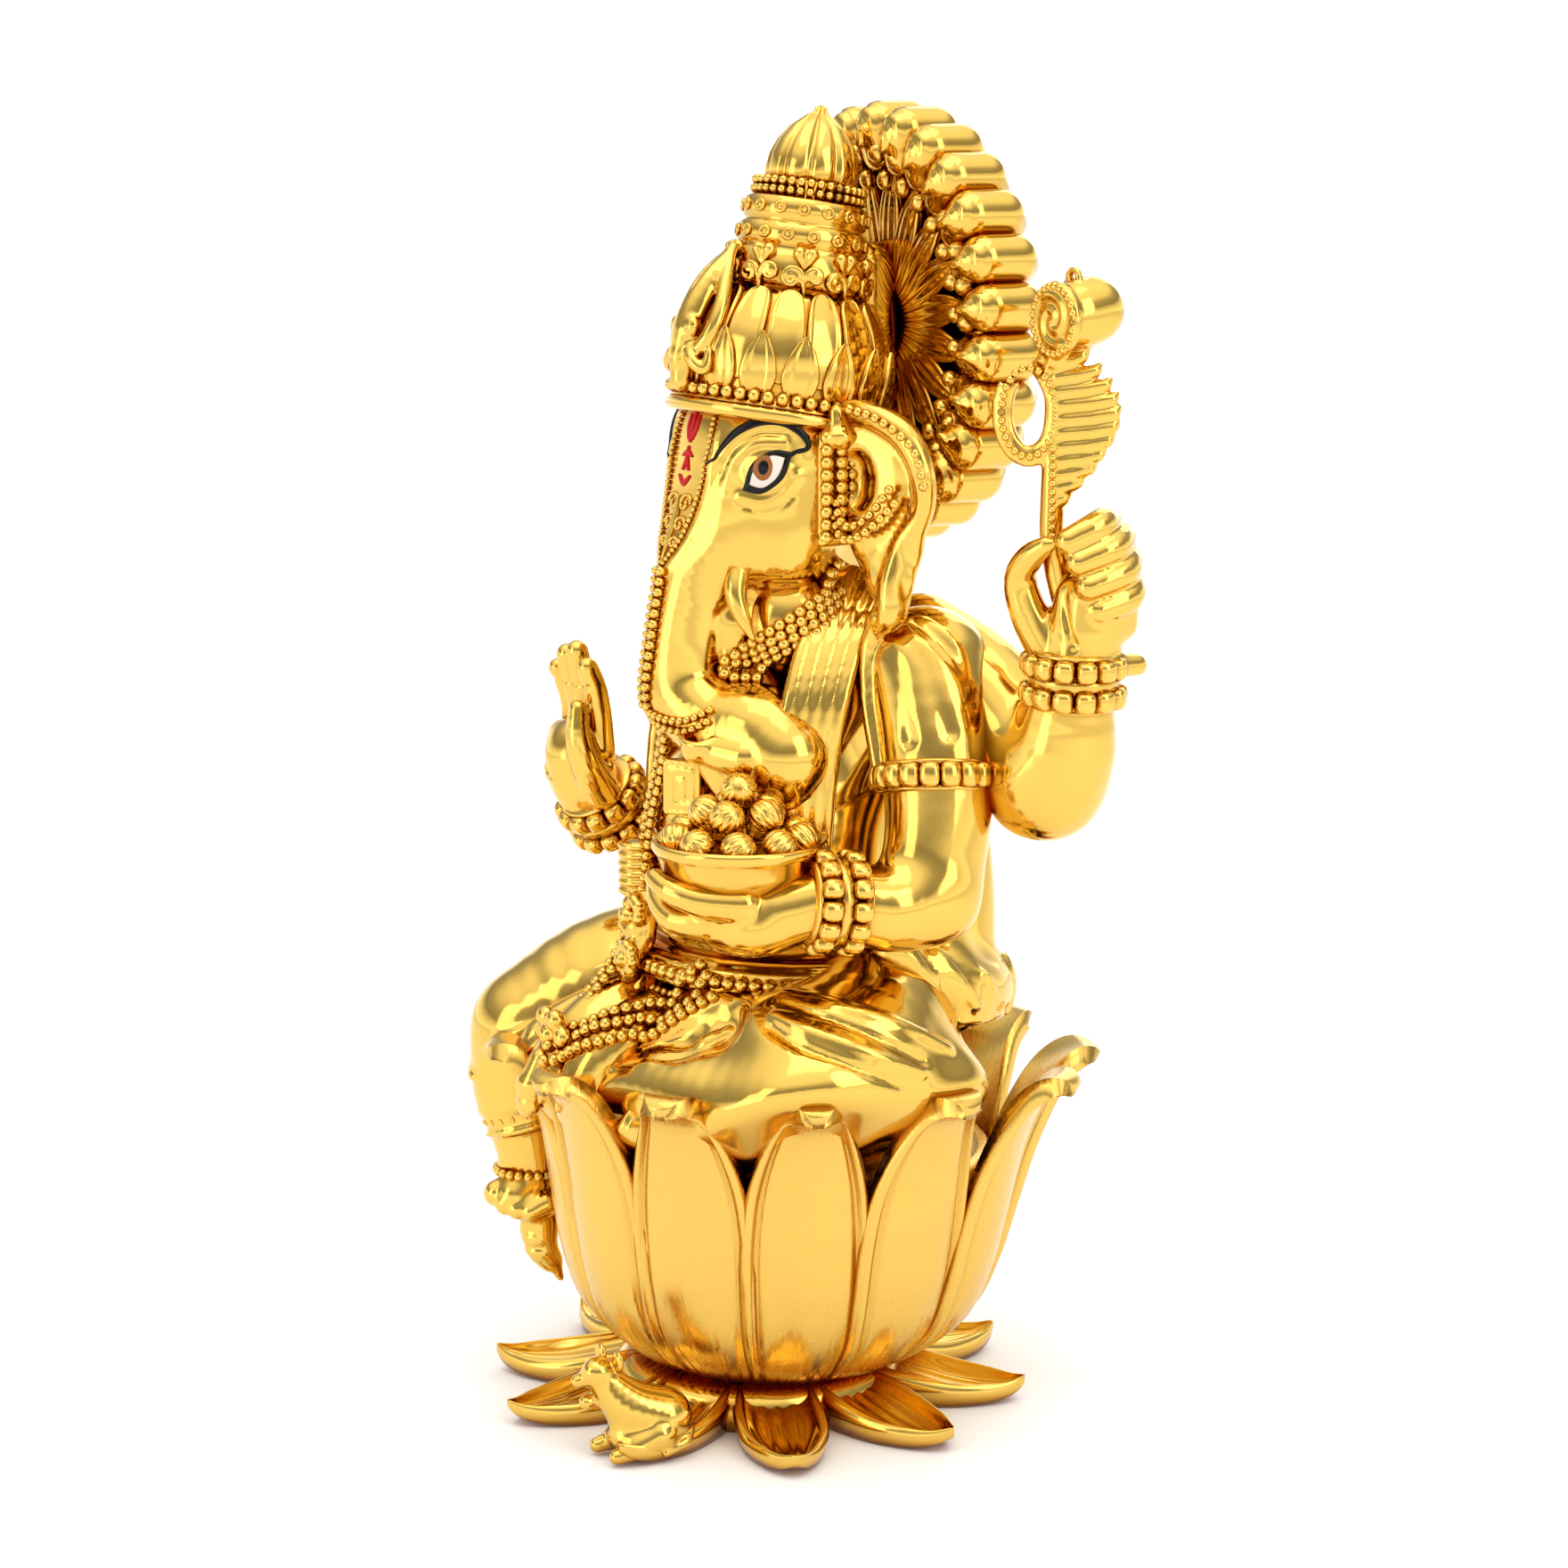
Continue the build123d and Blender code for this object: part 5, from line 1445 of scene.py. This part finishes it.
# %% Rear hands, closed round the shafts they carry
for side, label in ((1, "left"), (-1, "right")):
    fist = Clay((min(side * 54, side * 92), 14, 176), (max(side * 54, side * 92), 54, 216), 0.42)
    both = partial(mirrored, side)
    fist.rod(both([(70.5, 33, 177), (71.5, 35, 186), (72, 37, 195)]), [7.8, 8.4, 8.0], 3, curved=3)
    fist.slab((side * 73.4, 37, 191), (5.0, 8.6, 6.5), 3.0, 3, (0, side * 4, 0))
    fist.rod(both([(74, 29, 180), (77, 38, 178.6), (76, 45.4, 178.4)]), [2.4, 2.8, 2.6], 2.0)
    for bend in (((74, 44.5, 196.5), (79, 40.5, 194), (78.6, 33, 191.6)),
                 ((74, 44, 201.6), (79.2, 38.8, 199.6), (78.4, 30.6, 196.8)),
                 ((73, 43, 206.4), (78.6, 36.6, 205), (77.2, 28.8, 202)),
                 ((71.6, 40, 210), (76.8, 34, 209.6), (75.4, 27.2, 206.6))):
        fist.rod(both(bend), [3.5, 3.5, 2.9], 0.5, curved=4)
    fist.rod(both([(66.4, 29, 182), (63.4, 25.6, 190), (62.4, 24, 197.4), (66.6, 23.6, 202.6),
                   (71, 24.6, 205.6)]),
             [5.0, 4.2, 3.6, 3.0, 2.0], 1.2, curved=4)
    fist.line(both([(74.5, 27, 202), (73.5, 27.5, 194), (76.5, 28.5, 184)]), 0.9, 1.0)
    hand_in(clay_object("rear_" + label + "_hand_skin", fist), "plated_gold", "rear_" + label + "_hand")

# %% [markdown]
# ## Bowl and sweets
# A spun bowl with a rolled rim, heaped with round sweets.  Each sweet is a ball
# with fine grooves, as if rolled in threads.

# %% Bowl and sweets
BOWL = (30, -28)
wall = [(0.5, 125.6), (7, 126), (11.5, 127.4), (15, 130), (17.4, 133.4), (18.3, 136.4), (18.9, 137),
        (19.5, 138), (19.6, 139),
        (19.1, 139.9), (18.2, 139.6), (17.2, 138.2), (12, 136.6), (0.5, 136.2)]
bowl = moved(lathe("sweet_bowl_skin", wall, GOLD, steps=96),
             Matrix.Translation(Vector((BOWL[0], BOWL[1], 0)) * MM))
hand_in(bowl, "plated_gold", "sweet_bowl")
sweet = lathe("sweet", [(4.2 * sin(t), 4.0 * cos(t)) for t in np.linspace(pi * 0.985, pi * 0.015, 18)],
              BEAD_GOLD, 16, 0.35, 0.1, 64)
heap = []
for reach, count, height, start in ((14.0, 9, 139.8, 8), (7.4, 5, 145.4, 20), (0.01, 1, 150.4, 0)):
    for i in range(count):
        a = radians(start + i * 360 / count)
        one = copied(sweet)
        tip = Matrix.Rotation(radians(55), 4, Vector((cos(2.3 * i + count), sin(2.3 * i + count), 0.3)))
        heap.append(moved(one,
                          Matrix.Translation(Vector((BOWL[0] + reach * cos(a), BOWL[1] + reach * sin(a),
                                                     height)) * MM) @ tip))
bpy.data.objects.remove(sweet)
hand_in(joined("sweets_skin", heap), "beaded_gold", "sweets")

# %% [markdown]
# ## Belt, garland and necklaces
# Strings of beads rest on the finished clay: the necklace and lap paths are pulled
# onto the skin, and the bead tree walks along every path.

# %% Belt
belt = Clay((-46, -36, 92), (46, 46, 118), 0.6)
belt_ring = [(36 * cos(a), 6 + 34 * sin(a), 105) for a in np.linspace(0, 2 * pi, 40)]
belt.rod(belt_ring, 4.4, 1)
belt.slab((0, 6, 105), (22, 20, 4), 3, 6)
for z_ in (102.4, 107.6):
    belt.line([(40.4 * cos(a), 6 + 38.4 * sin(a), z_) for a in np.linspace(0, 2 * pi, 40)], 0.9, -0.9, 0)
belt_bits = [clay_object("belt", belt),
             beads([[(40.6 * cos(a), 6 + 38.6 * sin(a), 105) for a in np.linspace(0, 2 * pi, 120)]], 1.7,
                   3.2),
             beads([[(39.4 * cos(a), 6 + 37.4 * sin(a), 99.6) for a in np.linspace(pi, 2 * pi, 80)],
                    [(39 * cos(a), 6 + 37 * sin(a), 96.9) for a in np.linspace(pi, 2 * pi, 80)]], 1.15,
                    2.6)]
hand_in(joined("waist_belt_skin", belt_bits), "beaded_gold", "waist_belt")

# %% [markdown]
# ### Necklaces
# Four strings a side hang from under the ears to the middle of the chest, over a
# turned collar.

# %% Necklaces and plaque
neck_on = [torso, head]
around = []
for drop, push in ((0, 0), (2.5, 0.6), (5.0, 1.2), (7.5, 1.8)):
    for side in (1, -1):
        around.append(settle(smooth_path([(side * 24, 6, 196 - drop), (side * 21.5, -4 - push, 189 - drop),
                                          (side * 16.5, -12 - push, 182.5 - drop),
                                          (side * 10, -18 - push, 177 - drop),
                                          (side * 5, -20 - push, 174 - drop)], 10), neck_on, 0.8))
collar = [(r_, 180 + h) for r_, h in ((18, -3), (22, -2), (23, 0), (21, 3), (17, 4))]
neck = [moved(lathe("collar", collar, GOLD), Matrix.Translation(Vector((0, 6, 0)) * MM)),
        beads(around, 1.5, 2.6), beads([around[2], around[3], around[4], around[5]], 0.8, 1.7)]
hand_in(joined("necklaces_skin", neck), "beaded_gold", "necklaces")

# %% [markdown]
# ### The long garland
# Two strings fall from the trunk over the belly, and three more cross the lap.  The
# lap strings are settled, so they rest on whatever clay is nearest.

# %% Garland down the front
front = [head, torso, belt, left_leg, right_leg, apron]
GARLAND = [[(-1.8, -29.6, 166), (-4, -28, 158), (-6, -28.4, 149), (-8, -29.2, 141), (-9, -30.2, 132),
            (-10, -31.4, 122), (-11.5, -34, 110),
            (-12.5, -40, 101), (-13.5, -48, 93)],
           [(1, -30.4, 165), (-1, -28.8, 157), (-2.8, -29, 148), (-4.6, -30, 140), (-5.6, -31, 131),
            (-6.6, -32.2, 121), (-8, -35, 109),
            (-9.4, -41.6, 100), (-11, -49, 92)],
           [(16, -31, 110), (12, -36, 104), (5, -42, 99), (-3, -49, 94), (-10, -53, 90)],
           [(19, -32, 107), (15, -37, 101), (7, -44, 96), (-2, -51, 91), (-9, -54.4, 87)],
           [(22, -32, 105), (17, -38, 99), (9, -46, 93), (0, -53, 88), (-8, -56, 84)]]
falling = [smooth_path(g, 10) for g in GARLAND[:2]]
on_lap = [settle(smooth_path(g, 10), front, 0.9) for g in GARLAND[2:]]
drop_bits = [beads(falling, 1.35, 2.5, roundness=2), beads(on_lap, 1.5, 2.7, roundness=2)]

# %% [markdown]
# ### Knots and plaque
# A ribbed barrel, a flower and a small plaque with a sunk frame are threaded on the
# strings.

# %% Knots and plaque on the garland
knot = Clay((-26, -54, 88), (18, -16, 160), 0.4)
for z_ in (131.8, 129.7, 127.6, 125.5, 123.4, 121.3):
    knot.egg((-10, -31, z_), (5.0, 4.8, 1.35), 0.3)
knot.rod([(-6, -30.6, 119), (-6, -32.4, 111), (-7, -35.6, 103)], [2.6, 3.4, 2.6], 1)
for i in range(8):
    a = i * pi / 4
    knot.egg((-7 + 3.2 * cos(a) + 1.4 * sin(a), -34.4, 116 + 3.8 * sin(a)), (1.7, 1.7, 1.7), 0.5)
    knot.egg((-5 + 3.0 * cos(a), -37, 106.5 + 3.2 * sin(a)), (1.6, 1.6, 1.6), 0.5)
knot.egg((-7, -35.8, 116), (2.0, 2.0, 2.0), 0.4).egg((-5, -38.4, 106.5), (1.7, 1.7, 1.7), 0.4)
knot.slab((7, -28.6, 147.6), (4.8, 1.5, 6.4), 0.6, 0.4, (0, 0, 35))
for half_wide, half_tall in ((3.5, 5.0), (1.6, 2.8)):
    knot.line([(7 + 0.82 * a_ * half_wide + 0.86, -28.6 + 0.57 * a_ * half_wide - 1.23,
                147.6 + b_ * half_tall)
               for a_, b_ in ((-1, -1), (1, -1), (1, 1), (-1, 1), (-1, -1))], 0.4, 0.6, 0)
drop_bits.append(clay_object("knot", knot))
hand_in(joined("long_garland_skin", drop_bits), "beaded_gold", "long_garland")

# %% [markdown]
# ### The flower tassel
# The strings end between the knees in a flower with a ribbed bell.

# %% Flower tassel
tassel = Clay((-26, -66, 66), (6, -40, 104), 0.38)
for i in range(6):
    a = i * pi / 3
    tassel.egg((-10 + 4.4 * cos(a), -53.5 - 0.8 * sin(a), 90 + 4.4 * sin(a)), (2.6, 2.3, 2.6), 0.4)
tassel.egg((-10, -55, 90), (2.4, 2.2, 2.4), 0.4)
tassel.rod([(-11, -56, 84), (-12, -58, 78)], [3.0, 3.8], 1.0)
tassel.egg((-12, -58.5, 79), (3.9, 3.2, 2.2), 0.6)
tassel.egg((-12.3, -59, 74), (3.4, 2.8, 3.4), 0.6)
for i in range(-2, 3):
    tassel.line([(-12 + i * 1.6, -62, 77), (-12.4 + i * 1.7, -62, 70)], 0.35, 0.6)
hand_in(clay_object("flower_tassel_skin", tassel), "beaded_gold", "flower_tassel")

# %% [markdown]
# ## Goad, axe and mouse
# The goad is held upright in the rear left hand.  Its hook is an oval ring plate
# with raised rims and a row of beads, its fin a stack of ribs and its head a
# spiral drum.  The plate is turned between front and side, so a small helper
# gives the points of its flat face.

# %% Goad
def on_goad(across, up_, out=0.0):
    """A point of the goad's flat face: across the plate, up, and out of it."""
    return (66 + 0.70 * across + 0.71 * out, 29 + 0.71 * across - 0.70 * out, up_)


goad = Clay((50, 12, 184), (84, 50, 268), 0.42)
goad.rod([(70.5, 33, 186), on_goad(1, 203), on_goad(0.6, 216), on_goad(1.2, 236)], [3.4, 2.7, 2.6, 2.4], 1,
         curved=4)
oval = [on_goad(-4.6 + 5.9 * cos(a), 233.6 + 9.6 * sin(a)) for a in np.linspace(0, 2 * pi, 40)]
goad.rod(oval, 2.3, 0.6)
fin_reach = ((215, 4), (221, 9.5), (227, 13.4), (232, 15.2), (238, 14.2), (243, 10.4), (248, 5.5))
for i in range(11):
    z_ = 215.6 + i * 3.0
    far = float(np.interp(z_, [f[0] for f in fin_reach], [f[1] for f in fin_reach]))
    for face in (0.9, -0.9):
        goad.rod([on_goad(1.6, z_ - 1.6, face), on_goad(far * 0.6, z_ - 0.8, face),
                  on_goad(far - 1.2, z_, face * 0.6),
                  on_goad(far, z_ + 1.4)], [1.7, 1.65, 1.4, 0.6], 0.25)
goad.egg(on_goad(0.5, 245.5), (3.8, 3.8, 3.2), 0.8)
DRUM = (69.6, 27.0, 253.6)
goad.rod([(DRUM[0], 33, DRUM[2] + 1.2), (DRUM[0], 36.4, DRUM[2] + 1.8)], 7.4, 1.0)
goad.rod([(DRUM[0], 25, DRUM[2]), (DRUM[0], 34, DRUM[2] + 1)], 7.0, 1.0)
goad.slab((DRUM[0], 14.6, DRUM[2]), (14, 12, 14), 0.4, 0.2, (0, 0, 0), -1)
for winding in (0.0, pi):
    goad.rod([(DRUM[0] + (0.4 + 0.98 * t) * cos(t * 0.95 + winding), 26.5,
               DRUM[2] + (0.4 + 0.98 * t) * sin(t * 0.95 + winding))
              for t in np.linspace(0, 5.6, 36)], 0.72, 0.2)
goad.rod([(DRUM[0] + 7.2 * cos(a), 27.4, DRUM[2] + 7.2 * sin(a)) for a in np.linspace(0, 2 * pi, 36)], 1.2,
         0.3)
goad.rod([(DRUM[0] + 1.9 * cos(a), 32, 262.4 + 1.8 * sin(a)) for a in np.linspace(0, 2 * pi, 12)], 0.8, 0.3)
for rim_across, rim_up in ((7.6, 11.4), (4.2, 7.8)):
    turn_ = np.linspace(0, 2 * pi, 30)
    goad.line([on_goad(-4.6 + rim_across * cos(a), 233.6 + rim_up * sin(a), 1.2) for a in turn_], 0.5, -0.6)
round_hook = [on_goad(-4.6 + 5.9 * cos(a), 233.6 + 9.6 * sin(a), 1.9) for a in np.linspace(-pi, pi, 60)]
up_shaft = [on_goad(0.9, z_, 2.3) for z_ in np.linspace(207, 226, 12)]
round_drum = [(DRUM[0] + 7.2 * cos(a), 26.7, DRUM[2] + 7.2 * sin(a)) for a in np.linspace(0, 2 * pi, 60)]
edge = beads([round_hook, up_shaft, round_drum], 0.95, 1.8)
hand_in(joined("goad_skin", [clay_object("goad", goad), edge]), "plated_gold", "goad")

# %% [markdown]
# ### The axe
# The shaft carries a socket with three rings.  Thin rods fanned side by side melt
# into one ribbed blade.

# %% Axe
axe = Clay((-96, 22, 184), (-58, 44, 256), 0.45)
axe.rod([(-71, 33, 186), (-70, 33, 247)], [3.0, 2.8], 1)
axe.egg((-70, 33, 249.4), (4, 4, 3.6), 0.6)
axe.slab((-72, 33, 235), (5, 4, 6.4), 1.2, 1)
for z_ in (228.4, 235, 241.6):
    axe.line([(-66, 28, z_), (-78, 28, z_)], 0.8, -0.9)
    axe.line([(-66, 38, z_), (-78, 38, z_)], 0.8, -0.9)
for t in np.linspace(-1, 1, 13):
    axe.rod([(-75, 33, 235 + t * 4.5), (-82, 33, 235 + t * 8), (-88.6 + 3.4 * t * t, 33, 235 + t * 13.5)],
            [2.6, 1.9, 0.9], 1.4)
axe.line([(-86.4, 30, 223.5), (-88.4, 30.6, 235), (-86.4, 30, 246.5)], 0.7, -0.7)
axe.rod([(-66, 33, 235), (-62, 33, 237), (-60.5, 33, 240.5)], [2.6, 1.8, 1.0], 0.8)
hand_in(clay_object("battle_axe_skin", axe), "plated_gold", "battle_axe")

# %% [markdown]
# ### The mouse
# The mouse sits at the foot of the throne and holds a sweet to its mouth.

# %% Mouse at the foot of the throne
mouse = Clay((12, -68, 0), (36, -40, 32), 0.34)
mouse.rod([(27, -47, 8.5), (25, -53, 11), (22.4, -57.5, 16)], [7.0, 6.2, 4.2], 2, curved=4)
mouse.egg((21.2, -59.6, 19.4), (3.9, 4.6, 3.8), 1.4, (-25, 0, 20))
mouse.egg((19.6, -63.4, 18.0), (1.8, 2.6, 1.6), 1.2)
for x_, y_ in ((17.8, -57.4), (25, -57)):
    mouse.egg((x_, y_, 22.8), (2.2, 0.9, 2.4), 0.4)
    mouse.rod([(x_ + 0.8, y_ - 0.5, 14), (20.5, -61.5, 13.4)], [1.7, 1.1], 0.6)
for x_ in (22, 31):
    mouse.rod([(x_, -50, 6), (x_ - 1, -57, 3.0), (x_ - 1.4, -60, 2.4)], [4.0, 2.2, 1.8], 0.8)
mouse.rod([(30, -42, 6), (33, -44, 4), (34, -50, 2.6)], [1.8, 1.3, 0.9], 0.6)
mouse.egg((20.6, -62.6, 13.0), (1.9, 1.9, 1.7), 0.3)
mouse.egg((25.5, -53, 5.4), (6.0, 6.4, 4.6), 2.0)
hand_in(clay_object("mouse_skin", mouse), "plated_gold", "mouse")

# %% [markdown]
# ## Plinth, floor, light and camera
# The plain plinth under the leaves keeps its solid, in the same gold.  The
# floor is plain and pale.  Wide soft lamps give long clean highlights.  The world
# is a quiet white with a darker band above the horizon, because a mirror needs
# something to reflect.

# %% Gold on what is left
for name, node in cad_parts.items():
    node.data.materials.clear()
    node.data.materials.append(GOLD)

# %% [markdown]
# ### The studio
# The floor is large enough that its edge is far away, and the lamps are wide.

# %% Floor, lamps and world
FLOOR_REACH = 9000
floor_corners = [(x * FLOOR_REACH, y * FLOOR_REACH, 0) for x, y in ((-1, -1), (1, -1), (1, 1), (-1, 1))]
pale, _tree, pale_shader = new_material("pale_floor")
pale_shader.inputs["Base Color"].default_value = (0.97, 0.97, 0.97, 1)
pale_shader.inputs["Roughness"].default_value = 0.8
floor = mesh_object("floor", floor_corners, [(0, 1, 2, 3)], pale)
world = bpy.data.worlds.new("studio")
bpy.context.scene.world = world
world.use_nodes = True
sky = world.node_tree
back = sky.nodes["Background"]
where = sky.nodes.new("ShaderNodeTexCoord")
split = sky.nodes.new("ShaderNodeSeparateXYZ")
ramp = sky.nodes.new("ShaderNodeValToRGB")
stops = ramp.color_ramp.elements
stops[0].color = (0.5, 0.5, 0.5, 1)
for place, tone in ((0.5, 1.0), (0.60, 0.60), (0.66, 0.22), (0.76, 0.34), (0.86, 0.8)):
    stops.new(place).color = (tone, tone, tone, 1)
shift = sky.nodes.new("ShaderNodeMapRange")
shift.inputs["From Min"].default_value = -1.0
for a, b in ((where.outputs["Generated"], split.inputs[0]), (split.outputs[2], shift.inputs["Value"]),
             (shift.outputs[0], ramp.inputs["Fac"]), (ramp.outputs["Color"], back.inputs["Color"])):
    sky.links.new(a, b)
back.inputs["Strength"].default_value = 1.62


def lamp(name, place, aim, size, power):
    data = bpy.data.lights.new(name, "AREA")
    data.shape, data.size, data.size_y, data.energy = "RECTANGLE", size[0], size[1], power
    obj = bpy.data.objects.new(name, data)
    obj.location = Vector(place)
    obj.rotation_euler = (Vector(aim) - Vector(place)).to_track_quat("-Z", "Y").to_euler()
    bpy.context.scene.collection.objects.link(obj)
    return obj


CENTRE = Vector((0, 0, 0.15))
lamp("key", (1.0, 0.25, 0.75), CENTRE, (0.5, 0.9), 3.0)
lamp("fill", (0.0, -1.2, 0.45), CENTRE, (0.5, 1.0), 2.4)
lamp("top", (0.1, -0.1, 1.3), CENTRE, (0.9, 0.9), 3)
lamp("rear", (-0.7, 0.9, 0.7), CENTRE, (0.6, 0.9), 2.5)
print("studio: a floor, a world and four lamps")

# %% [markdown]
# ### The camera
# It stands to the figure's left and a little above, far back, with a long lens.

# %% Camera at the catalogue angle
AZIMUTH, ELEVATION, DISTANCE = radians(58.0), radians(10.6), 0.852
back_way = Vector((sin(AZIMUTH) * cos(ELEVATION), -cos(AZIMUTH) * cos(ELEVATION), sin(ELEVATION)))
side_way = Vector((cos(AZIMUTH), sin(AZIMUTH), 0))
camera = bpy.data.objects.new("camera", bpy.data.cameras.new("camera"))
camera.data.sensor_width, camera.data.lens = 36.0, 84.68
camera.location = Vector((0, 0, 0.1444)) + side_way * 0.002 + back_way * DISTANCE
camera.rotation_euler = (-back_way).to_track_quat("-Z", "Y").to_euler()
bpy.context.scene.collection.objects.link(camera)
bpy.context.scene.camera = camera
bpy.context.scene.view_settings.view_transform = "Standard"
